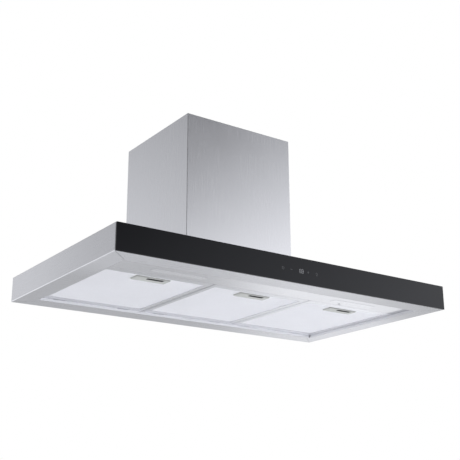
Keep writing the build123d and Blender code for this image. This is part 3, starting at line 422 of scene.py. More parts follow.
class NodeSheet(NodeNet):
    """A material's node tree, with what the finishes share."""

    def __init__(self, name: str) -> None:
        """Start a material with only its Principled shader.

        Args:
            name: Name of the material.
        """
        self.material = bpy.data.materials.new(name)
        self.material.use_nodes = True
        super().__init__(self.material.node_tree)
        self.shader = self.tree.nodes["Principled BSDF"]
        self.coordinates = self.add("TexCoord").outputs

    def scaled(self, along: Triple = (1.0, 1.0, 1.0)) -> Socket:
        """Object coordinates, scaled along each axis.

        Args:
            along: Factors along x, y and z.

        Returns:
            The socket of the scaled coordinates.
        """
        sockets = {"Vector": self.coordinates["Object"], "Scale": along}
        return self.add("Mapping", sockets).outputs["Vector"]

    def place(self) -> tuple[Socket, ...]:
        """The object coordinates' x, y and z."""
        return self.split(self.coordinates["Object"])

    def noise(
        self, scale: float, detail: float, roughness: float = 0.5, along: Triple = (1.0, 1.0, 1.0)
    ) -> Socket:
        """A noise texture's value.

        Args:
            scale: Noise scale.
            detail: Octaves.
            roughness: Strength of the finer octaves.
            along: Factors on the coordinates along x, y and z.

        Returns:
            The value socket.
        """
        sockets = {"Vector": self.scaled(along), "Scale": scale, "Detail": detail, "Roughness": roughness}
        return self.add("TexNoise", sockets).outputs["Fac"]

    def ramp(self, value: Socket, low: Triple, high: Triple, start: float = 0.3, end: float = 0.7) -> Socket:
        """A colour between two colours, by a value.

        Args:
            value: The value that picks the colour.
            low: Colour at start.
            high: Colour at end.
            start: Value of the first colour.
            end: Value of the second colour.

        Returns:
            The colour socket.
        """
        ramp = self.add("ValToRGB", {"Fac": value})
        stops = ramp.color_ramp.elements
        stops[0].position, stops[1].position = start, end
        stops[0].color, stops[1].color = (*low, 1.0), (*high, 1.0)
        return ramp.outputs["Color"]

    def dimmed(self, colour: Socket, share: Socket) -> Socket:
        """A colour times a number."""
        return self.add("VectorMath", {0: colour, "Scale": share}, operation="SCALE").outputs[0]

    def bump(self, height: Socket, distance: float, strength: float, edge: float = 0.0) -> None:
        """Set the shader's normal from a height, over edges that are rounded for the light.

        Args:
            height: Height socket.
            distance: Height of the relief.
            strength: Strength of the relief.
            edge: Radius of the rounded edges, 0 for none.
        """
        sockets = {"Height": height, "Distance": distance, "Strength": strength}
        if edge:
            sockets["Normal"] = self.add("Bevel", {"Radius": edge}, samples=4).outputs["Normal"]
        self.feed(self.shader, {"Normal": self.add("Bump", sockets).outputs["Normal"]})

    def shade(self, colour: Socket, roughness: Socket | float, **values: Value) -> None:
        """Feed the shader.

        Args:
            colour: Its base colour.
            roughness: Its roughness.
            **values: What feeds its other sockets, with underscores for the spaces in their names.
        """
        named = {key.replace("_", " "): value for key, value in values.items()}
        self.feed(self.shader, {"Base Color": colour, "Roughness": roughness, **named})


# Finishes

STEEL_TINT = (0.982, 0.984, 1.030)
STREAK_SPAN = (0.45, 0.90)  # the streaks' and clouds' least and greatest value


def tinted(tone: float) -> Triple:
    """The faintly blue colour of steel with a given reflectance."""
    return tuple(min(tone * share, 1.0) for share in STEEL_TINT)


@dataclass(frozen=True)
class Rims:
    """What only the canopy's rims show: a painted highlight on the outer fold, lips lightened by painted
    light and less metallic, and mitre seams.

    Attributes:
        half_width: x of the rims' outer edges.
        front: y of the front edge.
        back: y of the back edge.
        level: z of the rims' underside.
        width: Width of the side rims, and a seam's length along x.
        fold_painted_highlight: Share added to the tone low on the outer fold, as a painted highlight.
        lip_painted_light: Share added to the tone of the lips inside the rims, as painted light.
        lip_metal: How metallic the lips are, which are duller than the rims.
        seam_breadth: Width of a seam's shade.
        seam_core: Share of that width that is darkest.
        seam_tone: Share of the tone that is left in a seam.
        face_band: Distances from a sheet's face between which what it shows fades out.
        fold_band: Heights above the underside between which the fold's painted highlight fades out.
        outer_band: Distances from the outer edge between which the fold's painted highlight fades in.
        lip_end: y between which the lips' painted light and lower metalness fade out, in front of the
            canopy's back wall.
    """

    half_width: float
    front: float
    back: float
    level: float
    width: float
    fold_painted_highlight: float = 0.62
    lip_painted_light: float = 0.45
    lip_metal: float = 0.2
    seam_breadth: float = 1.3 * MM
    seam_core: float = 0.4
    seam_tone: float = 0.45
    face_band: tuple[float, float] = (0.5 * MM, 1.5 * MM)
    fold_band: tuple[float, float] = (1.2 * MM, 2.6 * MM)
    outer_band: tuple[float, float] = (2.0 * MM, 1.0 * MM)
    lip_end: tuple[float, float] = (-52.0 * MM, -48.0 * MM)

    def shades(self, sheet: NodeSheet, level: Socket) -> tuple[Socket, Socket, Socket]:
        """Find what the fold, the lips and the seams change: the fold's painted highlight, the lips' painted
        light and lower metalness, and the seams' darkening.

        Args:
            sheet: The material's nodes.
            level: 1 on level faces and 0 on upright ones.

        Returns:
            The painted light added to upright faces' tone on the fold and the lips, the share of the tone
            that the seams leave, and how metallic the steel is.
        """
        x, y, z = sheet.place()
        aside = sheet.maths("ABSOLUTE", x)
        inner_edge = self.half_width - self.width
        # painted highlight: a bright band low along the outer fold of the upright faces
        fold = sheet.maths(
            "MULTIPLY",
            sheet.ranged(z, self.fold_painted_highlight, 0.0, *(self.level + up for up in self.fold_band)),
            sheet.ranged(aside, 0.0, 1.0, *(self.half_width - off for off in self.outer_band)),
        )
        lips = sheet.maths(
            "MULTIPLY",
            sheet.ranged(aside, 1.0, 0.0, *(inner_edge + off for off in self.face_band)),
            sheet.ranged(y, 1.0, 0.0, *self.lip_end),
        )
        # painted light: the lips inside the rims are lightened on their upright faces
        painted_gain = sheet.maths("MULTIPLY_ADD", lips, self.lip_painted_light, fold)
        upright_lips = sheet.maths("MULTIPLY", lips, sheet.maths("SUBTRACT", 1.0, level))
        metal = sheet.ranged(upright_lips, 1.0, self.lip_metal, 0.0, 1.0)
        return painted_gain, self._seams(sheet, level), metal

    def _seams(self, sheet: NodeSheet, level: Socket) -> Socket:
        """Find the share of the tone that the seams across the rims' corners leave.

        Args:
            sheet: The material's nodes.
            level: 1 on level faces and 0 on upright ones.

        Returns:
            The socket of the share.
        """
        x, y, z = sheet.place()
        side = sheet.maths("SUBTRACT", self.half_width, sheet.maths("ABSOLUTE", x))
        low_face = sheet.ranged(z, 1.0, 0.0, *(self.level + up for up in self.face_band))
        within = sheet.ranged(side, 1.0, 0.0, self.width * 0.98, self.width * 1.02)
        where = sheet.maths("MULTIPLY", within, low_face)
        off_front, off_back = (
            sheet.maths("ABSOLUTE", sheet.maths("SUBTRACT", side, end))
            for end in (sheet.maths("SUBTRACT", y, self.front), sheet.maths("SUBTRACT", self.back, y))
        )
        off = sheet.maths("MINIMUM", off_front, off_back)
        line = sheet.ranged(off, 1.0, 0.0, self.seam_breadth * self.seam_core, self.seam_breadth)
        shade = sheet.maths("MULTIPLY", sheet.maths("MULTIPLY", line, where), level)
        return sheet.maths("MULTIPLY_ADD", shade, self.seam_tone - 1.0, 1.0)


@dataclass(frozen=True)
class BrushedSteel:
    """Brushed stainless steel sheet.

    Attributes:
        name: Name of the material.
        tone: Reflectance.
        roughness: Roughness of the surface.
        grain: Direction of the brushing on upright faces.
        pitch: Streaks for each metre across the grain.
        stretch: Changes for each metre along the grain.
        clouding: Share of the clouding among the streaks.
        contrast: Share by which the tone of the streaks varies.
        relief: Strength of the streaks' relief.
        edge: Radius of the bent edges for the light.
        painted_level_tones: Share added to level faces' tone at the left and at the right, as painted light
            and shade.
        level_reach: y up to which the level faces get that share in full.
        reach_fade: Distance over which the share then fades out.
        painted_side_tones: Share added to upright faces' tone at the front and at the back, as painted light
            and shade.
        span_x: x of the left and the right end.
        span_y: y of the front and the back end.
        rims: The rims' painted highlight, painted light and seams, or None.
    """

    name: str
    tone: float
    roughness: float
    grain: Grain = Grain.LEVEL
    pitch: float = 1600.0
    stretch: float = 12.0
    clouding: float = 0.35
    contrast: float = 0.05
    relief: float = 0.10
    edge: float = 0.6 * MM
    painted_level_tones: tuple[float, float] | None = None
    level_reach: float = 1.0
    reach_fade: float = 0.15
    painted_side_tones: tuple[float, float] = (0.0, 0.0)
    span_x: tuple[float, float] = (-0.45, 0.45)
    span_y: tuple[float, float] = (-0.51, -0.03)
    rims: Rims | None = None

    def paint(self, sheet: NodeSheet) -> None:
        """Add fine streaks, faint clouding and a soft sheen on bent edges, with painted light and shade
        across the faces and on the rims.

        Args:
            sheet: The material's nodes.
        """
        fine, long = self.pitch, self.stretch
        run = (fine, fine, long) if self.grain is Grain.UPRIGHT else (long, long, fine)
        level = sheet.maths("ABSOLUTE", sheet.split(sheet.coordinates["Normal"])[2])
        wall = sheet.noise(1.0, 4.0, 0.6, run)
        flat = sheet.noise(1.0, 4.0, 0.6, (long, fine, long))
        streak = sheet.blend(level, wall, flat)
        mixed = sheet.maths("MULTIPLY_ADD", sheet.noise(9.0, 4.0, 0.55), self.clouding, streak)
        low, high = self.tone * (1.0 - self.contrast), self.tone * (1.0 + self.contrast)
        colour = sheet.ramp(mixed, tinted(low), tinted(high), *STREAK_SPAN)
        painted_gain, seams, metal = self.rims.shades(sheet, level) if self.rims else (0.0, 1.0, 1.0)
        # painted light and shade across the faces, with the rims' painted light; the seams darken the result
        if self.painted_level_tones:
            painted_share = self._painted_tones(sheet, level, painted_gain)
            colour = sheet.dimmed(colour, sheet.maths("MULTIPLY", painted_share, seams))
        rough = sheet.ranged(mixed, self.roughness - 0.03, self.roughness + 0.04, *STREAK_SPAN)
        sheet.shade(colour, rough, Metallic=metal)
        sheet.bump(streak, 0.02 * MM, self.relief, self.edge)

    def _painted_tones(self, sheet: NodeSheet, level: Socket, painted_gain: Value) -> Socket:
        """Paint light and shade on the level faces from left to right, and on the upright ones from front to
        back.

        Args:
            sheet: The material's nodes.
            level: 1 on level faces and 0 on upright ones.
            painted_gain: Painted light that the rims add to upright faces' tone.

        Returns:
            The socket of the share of the tone.
        """
        x, y, _ = sheet.place()
        across = sheet.ranged(x, *self.painted_level_tones, *self.span_x)
        near = sheet.ranged(y, 1.0, 0.0, self.level_reach, self.level_reach + self.reach_fade)
        wall = sheet.maths("ADD", sheet.ranged(y, *self.painted_side_tones, *self.span_y), painted_gain)
        share = sheet.blend(level, wall, sheet.maths("MULTIPLY", across, near))
        return sheet.maths("ADD", share, 1.0)


@dataclass(frozen=True)
class BlackGlass:
    """Polished black glass.

    Attributes:
        name: Name of the material.
    """

    name: str = "black_glass"

    def paint(self, sheet: NodeSheet) -> None:
        """Make it near black with a clear gloss and a trace of dust.

        Args:
            sheet: The material's nodes.
        """
        dust = sheet.noise(26.0, 8.0, 0.7)
        colour = sheet.ramp(dust, (0.0010, 0.0010, 0.0012), (0.0020, 0.0018, 0.0026))
        gloss = {"IOR": 1.50, "Specular_IOR_Level": 0.25, "Specular_Tint": (0.90, 0.92, 1.0, 1.0)}
        sheet.shade(colour, sheet.ranged(dust, 0.030, 0.060), **gloss)
        sheet.bump(sheet.noise(3.0, 1.0), 0.2 * MM, 0.05, 0.3 * MM)


@dataclass(frozen=True)
class Moulding:
    """Moulded plastic or rubber with a fine grain.

    Attributes:
        name: Name of the material.
        colour: Its colour.
        roughness: Roughness of the surface.
        grain: Pebbles for each metre.
        relief: Strength of the grain's relief.
    """

    name: str
    colour: Triple
    roughness: float
    grain: float = 900.0
    relief: float = 0.25

    def paint(self, sheet: NodeSheet) -> None:
        """Add a pebbled grain and small changes of tone.

        Args:
            sheet: The material's nodes.
        """
        pebble = sheet.noise(self.grain, 2.0)
        low, high = (tuple(min(c * share, 1.0) for c in self.colour) for share in (0.92, 1.08))
        rough = sheet.ranged(pebble, self.roughness - 0.06, self.roughness + 0.08)
        sheet.shade(sheet.ramp(sheet.noise(30.0, 4.0), low, high), rough)
        sheet.bump(pebble, 0.03 * MM, self.relief, 0.3 * MM)


@dataclass(frozen=True)
class Galvanised:
    """Zinc-coated sheet with its spangle.

    Attributes:
        name: Name of the material.
        tone: Reflectance.
    """

    name: str = "galvanised"
    tone: float = 0.55

    def paint(self, sheet: NodeSheet) -> None:
        """Add angular crystals of slightly different tone and gloss.

        Args:
            sheet: The material's nodes.
        """
        crystals = sheet.add("TexVoronoi", {"Vector": sheet.scaled(), "Scale": 95.0})
        value = sheet.add("SeparateColor", {0: crystals.outputs["Color"]}).outputs["Red"]
        low, high = self.tone * 0.86, self.tone * 1.12
        colour = sheet.ramp(value, (low, low, low * 1.02), (high, high * 1.01, high * 1.03), 0.0, 1.0)
        sheet.shade(colour, sheet.ranged(value, 0.34, 0.50, 0.0, 1.0), Metallic=1.0)
        sheet.bump(value, 0.01 * MM, 0.15, 0.4 * MM)


@dataclass(frozen=True)
class FineMesh:
    """Layers of fine expanded aluminium behind the outer strands.

    Attributes:
        name: Name of the material.
        tone: Reflectance.
        cells: Cells for each metre along x, y and z.
    """

    name: str = "filter_mesh"
    tone: float = 0.91
    cells: Triple = (420.0, 640.0, 200.0)

    def paint(self, sheet: NodeSheet) -> None:
        """Add rows of small staggered cells, pale and matt.

        Args:
            sheet: The material's nodes.
        """
        sockets = {"Vector": sheet.scaled(self.cells), "Scale": 1.0, "Randomness": 0.35}
        value = sheet.add("TexVoronoi", sockets, feature="SMOOTH_F1").outputs["Distance"]
        low, high = self.tone * 0.80, self.tone * 1.08
        colour = sheet.ramp(value, (high, high, high * 1.01), (low, low, low * 1.01), 0.15, 0.75)
        sheet.shade(colour, sheet.ranged(value, 0.42, 0.58), Metallic=0.75)
        sheet.bump(value, 0.3 * MM, 0.45)


@dataclass(frozen=True)
class CircuitBoard:
    """Green board with paler tracks.

    Attributes:
        name: Name of the material.
    """

    name: str = "circuit_board"

    def paint(self, sheet: NodeSheet) -> None:
        """Add a solder mask over a net of tracks.

        Args:
            sheet: The material's nodes.
        """
        sockets = {"Vector": sheet.scaled(), "Scale": 220.0}
        value = sheet.add("TexVoronoi", sockets, feature="DISTANCE_TO_EDGE").outputs["Distance"]
        colour = sheet.ramp(value, (0.05, 0.22, 0.09), (0.015, 0.10, 0.045), 0.05, 0.12)
        sheet.shade(colour, sheet.ranged(value, 0.30, 0.42))
        sheet.bump(value, 0.03 * MM, 0.3)


@dataclass(frozen=True)
class FrostedLens:
    """Frosted lamp cover that shows a brushed panel's tone, lamps off.

    Attributes:
        name: Name of the material.
    """

    name: str = "lens"

    def paint(self, sheet: NodeSheet) -> None:
        """Make it a satin, faintly ribbed cover.

        Args:
            sheet: The material's nodes.
        """
        sockets = {"Vector": sheet.scaled(), "Scale": 120.0, "Distortion": 0.6}
        value = sheet.add("TexWave", sockets, bands_direction="X").outputs["Fac"]
        colour = sheet.ramp(value, tinted(0.60), tinted(0.66), 0.0, 1.0)
        sheet.shade(colour, sheet.ranged(value, 0.20, 0.28, 0.0, 1.0), IOR=1.49, Metallic=0.75)
        sheet.bump(value, 0.05 * MM, 0.25, 0.3 * MM)


# Pieces


class BayMaker:
    """Makes the pieces that every filter bay has.

    Attributes:
        makes: Finish, material slot and replaced CAD node, if any, of each piece.
    """

    makes: tuple[tuple[str, str, str | None], ...] = ()

    def settle(self, pieces: list[Piece], bay: Bay, finishes: dict[str, Material]) -> None:
        """Dress the pieces of one bay and fix them to its filter.

        Args:
            pieces: The pieces, in the order of makes.
            bay: Their filter bay.
            finishes: Every finish by its name.
        """
        for piece, (finish, slot, node) in zip(pieces, self.makes):
            dress(piece, finishes[finish])
            if node:
                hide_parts(bay.of(node))
            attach(piece, bay.of("filter"))


@dataclass
class StrandMesh(BayMaker):
    """The outer layers of a filter's expanded mesh, as real strands.

    Attributes:
        cell_length: Length of a diamond along x.
        cell_width: Width of a diamond along y.
        strand: Thickness of a strand.
        rest: Gap between the strands and the CAD mesh.
        play: Gap to the frame and to the handle.
        border_side: Width of the frame's border at the sides.
        border_end: Width of the frame's border at the front and at the back.
        sheet: Thickness of the frame's sheet, with the mesh's gap to it.
    """

    makes = (("strand_steel", "filter_mesh", None),) * 2

    cell_length: float = 9.0 * MM
    cell_width: float = 4.5 * MM
    strand: float = 0.7 * MM
    rest: float = 0.05 * MM
    play: float = 0.3 * MM
    border_side: float = 12.0 * MM
    border_end: float = 19.5 * MM
    sheet: float = 1.3 * MM

    def shape(self, bay: Bay) -> list[Piece]:
        """Weave the strands of one bay, below and above its mesh.

        Args:
            bay: The filter bay.

        Returns:
            The lower and the upper layer.
        """
        frame_low, frame_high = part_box(bay.of("filter_frame"))
        slab_low, slab_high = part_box(bay.of("filter_mesh"))
        lift = self.strand / 2 + self.rest
        border = Vector((self.border_side + self.play, self.border_end + self.play, 0.0))
        low = Vector((frame_low.x, frame_low.y, slab_low.z - lift)) + border
        high = Vector((frame_high.x, slab_high.y + self.sheet, slab_low.z)) - border
        inset = Vector((self.strand, self.strand, 0.0))
        inner_low = Vector((slab_low.x, slab_low.y, slab_high.z + lift)) + inset
        return [
            self._layer(bay.of("strand_mesh"), bay, low, high),
            self._layer(bay.of("inner_strands"), bay, inner_low, slab_high - inset),
        ]

    def _layer(self, name: str, bay: Bay, low: Vector, high: Vector) -> Piece:
        """Weave one layer, with no strands behind the handle's plate.

        Args:
            name: Name of the piece.
            bay: The filter bay.
            low: The layer's lowest corner, at the strands' middle.
            high: The layer's highest corner. Its z isn't used.

        Returns:
            The layer.
        """
        width, length = high.x - low.x, high.y - low.y
        columns, rows = round(width / self.cell_length), round(length / self.cell_width)
        centre = ((low.x + high.x) / 2, (low.y + high.y) / 2, low.z)
        deselect_all()
        bpy.ops.mesh.primitive_grid_add(
            x_subdivisions=columns, y_subdivisions=rows, size=1.0, location=centre
        )
        bpy.context.object.scale = (width, length, 1.0)
        piece = keep_primitive(name)
        plate_low, plate_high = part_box(bay.of("filter_handle"))
        gap = self.play + self.strand

        def square(ends: list[Vector]) -> bool:
            """Whether an edge runs along x or y, and so isn't a diamond's."""
            step = ends[1] - ends[0]
            return abs(step.x) < TINY or abs(step.y) < TINY

        def hidden(corners: list[Vector]) -> bool:
            """Whether a diamond lies behind the plate."""
            return all(
                max(corner[i] for corner in corners) >= plate_low[i] - gap
                and min(corner[i] for corner in corners) <= plate_high[i] + gap
                for i in range(2)
            )

        with editing(piece, "EDGE"):
            bpy.ops.mesh.poke()
        with editing(piece, "EDGE", square):
            bpy.ops.mesh.dissolve_edges(use_verts=False)
        with editing(piece, "FACE", hidden):
            bpy.ops.mesh.delete(type="FACE")
        modify(piece, "WIREFRAME", thickness=self.strand, use_even_offset=False, use_boundary=True)
        return piece


@dataclass
class GripPlate(BayMaker):
    """A filter's recessed handle: a plate with a finger opening and a cup behind it.

    Attributes:
        plate: Thickness of the plate.
        corner: Radius of the plate's and the opening's corners.
        corner_steps: Segments of such a corner.
        pillow: Radius of the plate's lower edge.
        pillow_steps: Segments of that edge.
        opening: Size of the finger opening along x and y.
        opening_inset: Distance from the plate's front edge to the opening.
        opening_shift: Distance of the opening from the plate's middle along x.
        lining: Thickness of the opening's dark lining.
        lining_play: Gap between the lining and the opening.
        lining_less: Difference between the plate's thickness and the lining's height.
        cup: Size of the cup along x and y.
        cup_wall: Thickness of the cup's wall.
    """

    makes = (("grip_grey", "grey_plastic", "filter_handle"), ("black_plastic", "black_plastic", None))

    plate: float = 3.0 * MM
    corner: float = 2.0 * MM
    corner_steps: int = 5
    pillow: float = 2.2 * MM
    pillow_steps: int = 4
    opening: tuple[float, float] = (42.0 * MM, 10.5 * MM)
    opening_inset: float = 2.4 * MM
    opening_shift: float = 7.0 * MM
    lining: float = 0.8 * MM
    lining_play: float = 0.02 * MM
    lining_less: float = 0.4 * MM
    cup: tuple[float, float] = (64.0 * MM, 26.0 * MM)
    cup_wall: float = 1.2 * MM

    def shape(self, bay: Bay) -> list[Piece]:
        """Model the handle of one bay.

        Args:
            bay: The filter bay.

        Returns:
            The handle and the lining of its opening.
        """
        low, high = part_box(bay.of("filter_handle"))
        size, middle = high - low, (low + high) / 2
        centre = Vector((middle.x, middle.y, low.z + self.plate / 2))
        body = add_block("grip", Vector((size.x, size.y, self.plate)), centre)
        bevel_edges(body, upright, self.corner, self.corner_steps)
        bottom = low.z + TINY
        bevel_edges(body, lambda ends: max(e.z for e in ends) < bottom, self.pillow, self.pillow_steps)
        front = low.y + self.opening_inset
        way = Vector((middle.x + self.opening_shift, front + self.opening[1] / 2, centre.z))
        cut(body, self._tube("hole", way, 0.0, THROUGH))
        cup_height = size.z - self.plate
        cup_centre = Vector((middle.x, middle.y, high.z - cup_height / 2))
        walls = add_block("cup", Vector((*self.cup, cup_height)), cup_centre)
        well = Vector((*(side - 2 * self.cup_wall for side in self.cup), THROUGH))
        cut(walls, add_block("well", well, cup_centre))
        piece = join([body, walls], bay.of("grip"))
        lining_height = self.plate - self.lining_less
        lining = self._tube(bay.of("grip_lining"), way, self.lining_play, lining_height)
        cut(lining, self._tube("hole", way, self.lining, THROUGH))
        for part in (piece, lining):
            smooth(part)
        return [piece, lining]

    def _tube(self, name: str, centre: Vector, inset: float, height: float) -> Piece:
        """A block with the opening's outline, or a smaller one.

        Args:
            name: Object name.
            centre: Its centre.
            inset: Distance of its sides inside the opening's.
            height: Its height.

        Returns:
            The block.
        """
        width, length = (size - 2 * inset for size in self.opening)
        block = add_block(name, Vector((width, length, height)), centre)
        bevel_edges(block, upright, self.corner - inset, self.corner_steps)
        return block


@dataclass
class LatchSpring(BayMaker):
    """The coil spring behind a filter's latch, which the open latch presses together.

    Attributes:
        wire: Radius of the wire.
        corners: Sides of the wire.
        turns: Number of turns.
        steps: Steps in a turn.
        crease: Edges sharper than this many degrees stay crisp.
        kept: Share of its length that is left when the latch is open. Not used.
    """

    makes = (("spring_steel", "spring_steel", "latch_spring"),)

    wire: float = 0.3 * MM
    corners: int = 10
    turns: int = 5
    steps: int = 20
    crease: float = 50.0
    kept: float = 0.41

    def shape(self, bay: Bay) -> list[Piece]:
        """Model the spring of one bay.

        Args:
            bay: The filter bay.

        Returns:
            The spring alone.
        """
        low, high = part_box(bay.of("latch_spring"))
        size, middle = high - low, (low + high) / 2
        place = (size.x / 2 - self.wire, 0.0, 0.0)
        deselect_all()
        bpy.ops.mesh.primitive_circle_add(vertices=self.corners, radius=self.wire, location=place)
        coil = keep_primitive(bay.of("coil"))
        rise = (size.y - 2 * self.wire) / self.turns
        winding = {"iterations": self.turns, "steps": self.steps, "render_steps": self.steps}
        modify(coil, "SCREW", axis="Y", screw_offset=rise, **winding)
        with editing(coil):
            bpy.ops.mesh.fill_holes(sides=0)
            bpy.ops.mesh.select_all(action="SELECT")
            bpy.ops.mesh.normals_make_consistent(inside=False)
        coil.data.transform(Matrix.Translation((middle.x, low.y + self.wire, middle.z)))
        smooth(coil, self.crease)
        return [coil]

    def settle(self, pieces: list[Piece], bay: Bay, finishes: dict[str, Material]) -> None:
        """Dress the spring of one bay, fix it to its filter and give it a mesh of its own.

        Args:
            pieces: The spring alone.
            bay: Its filter bay.
            finishes: Every finish by its name.
        """
        super().settle(pieces, bay, finishes)
        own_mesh(pieces[0])


@dataclass(frozen=True)
class ScrewShape:
    """Sizes of a screw in whole micrometres, so that equal screws compare equal.

    Attributes:
        axis: The axis that the screw lies along, 0 to 2.
        way: +1 if the head points up that axis, or -1.
        sizes: Radius and height of the head, radius of the shank and length over all.
    """

    axis: int
    way: int
    sizes: tuple[int, ...]

    @classmethod
    def measure(cls, points: list[Vector]) -> tuple["ScrewShape", Vector]:
        """Find a screw's sizes from the corners of its solid.

        Args:
            points: The corners.

        Returns:
            The shape, and the centre of the head's underside.
        """
        low = Vector(min(p[i] for p in points) for i in range(3))
        high = Vector(max(p[i] for p in points) for i in range(3))
        size = high - low
        axis = max(range(3), key=lambda i: min(abs(size[i] - size[j]) for j in range(3) if j != i))
        across = [i for i in range(3) if i != axis]
        middle = (low + high) / 2

        def reach(point: Vector) -> float:
            """Distance of a corner from the screw's axis."""
            return math.hypot(*(point[i] - middle[i] for i in across))

        head_radius = max(reach(p) for p in points)
        outline = 0.95 * head_radius  # only the head's own outline reaches further
        rim = [p[axis] for p in points if reach(p) > outline]
        way = 1 if max(rim) > high[axis] - TINY else -1
        tip = (low, high)[way < 0][axis]
        shank_radius = max(reach(p) for p in points if abs(p[axis] - tip) < TINY)
        seat = middle.copy()
        seat[axis] = min(rim) if way > 0 else max(rim)
        sizes = (head_radius, max(rim) - min(rim), shank_radius, size[axis])
        return cls(axis, way, tuple(round(value / TINY) for value in sizes)), seat


@dataclass
class ScrewSet:
    """All screws of one CAD node, with domed heads and a cross recess.

    Attributes:
        node: The CAD node that the screws stand for.
        recess: Length and width of a recess's slot as shares of the head's width.
        recess_depth: Depth of the recess as a share of the head's height.
        dome: Most that the head is rounded, as shares of its height and of its radius.
        tip: How far the shank's end is rounded, as a share of its radius.
        sides: Sides of the head and of the shank.
        steps: Segments of the head's and of the tip's rounding.
    """

    node: str
    recess: tuple[float, float] = (0.62, 0.17)
    recess_depth: float = 0.6
    dome: tuple[float, float] = (0.45, 0.3)
    tip: float = 0.4
    sides: tuple[int, int] = (32, 20)
    steps: tuple[int, int] = (3, 2)

    def build(self, material: Material) -> None:
        """Model the screws as one piece, which stands for the node.

        Args:
            material: Finish of the screws.
        """
        models: dict[ScrewShape, tuple[Piece, Vector]] = {}
        screws = []
        for points in loose_parts(frame["nodes"][self.node]):
            shape, seat = ScrewShape.measure(points)
            if shape in models:
                model, home = models[shape]
                screws.append(copy_moved(model, "screw", seat - home))
                continue
            model = self._screw(shape, seat)
            models[shape] = (model, seat)
            screws.append(model)
        piece = join(screws, f"cross_{self.node}")
        dress(piece, material)
        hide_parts(self.node)
        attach(piece, body_of(self.node))

    def _screw(self, shape: ScrewShape, seat: Vector) -> Piece:
        """Model one screw in place.

        Args:
            shape: Its sizes.
            seat: Centre of the head's underside.

        Returns:
            The screw.
        """
        radius, height, shank_radius, length = (value * TINY for value in shape.sizes)
        head_sides, shank_sides = self.sides
        head_steps, tip_steps = self.steps
        head = add_rod("screw", radius, height, height / 2, head_sides)
        top = height - TINY
        round_off = min(height * self.dome[0], radius * self.dome[1])
        bevel_edges(head, lambda ends: min(e.z for e in ends) > top, round_off, head_steps)
        along, across = (2 * radius * share for share in self.recess)
        depth = 2 * self.recess_depth * height
        for size in (Vector((along, across, depth)), Vector((across, along, depth))):
            cut(head, add_block("slot", size, Vector((0.0, 0.0, height))))
        stem = add_rod("stem", shank_radius, length - height, (height - length) / 2, shank_sides)
        bottom = height - length + TINY
        bevel_edges(stem, lambda ends: max(e.z for e in ends) < bottom, shank_radius * self.tip, tip_steps)
        screw = join([head, stem], "screw")
        outward = Vector((0.0, 0.0, 0.0))
        outward[shape.axis] = shape.way
        turn = Vector((0.0, 0.0, 1.0)).rotation_difference(outward).to_matrix().to_4x4()
        screw.data.transform(Matrix.Translation(seat) @ turn)
        smooth(screw)
        return screw


@dataclass
class GlassPane:
    """The front glass with ground edges, set back by the thickness of its print.

    Attributes:
        set_back: How far its face lies behind the CAD glass's.
        soften: Radius of its edges.
        steps: Segments of such an edge.
        corner: Edges sharper than this many degrees are rounded.
    """

    set_back: float = 0.08 * MM
    soften: float = 0.5 * MM
    steps: int = 3
    corner: float = 35.0

    def build(self, material: Material) -> None:
        """Model the pane, which stands for the CAD glass.

        Args:
            material: Finish of the glass.
        """
        low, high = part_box("front_glass")
        low.y += self.set_back
        pane = add_block("glass_pane", high - low, (low + high) / 2)
        limit = {"limit_method": "ANGLE", "angle_limit": math.radians(self.corner)}
        modify(pane, "BEVEL", width=self.soften, segments=self.steps, **limit)
        dress(pane, material)
        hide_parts("front_glass")
        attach(pane, "hood")


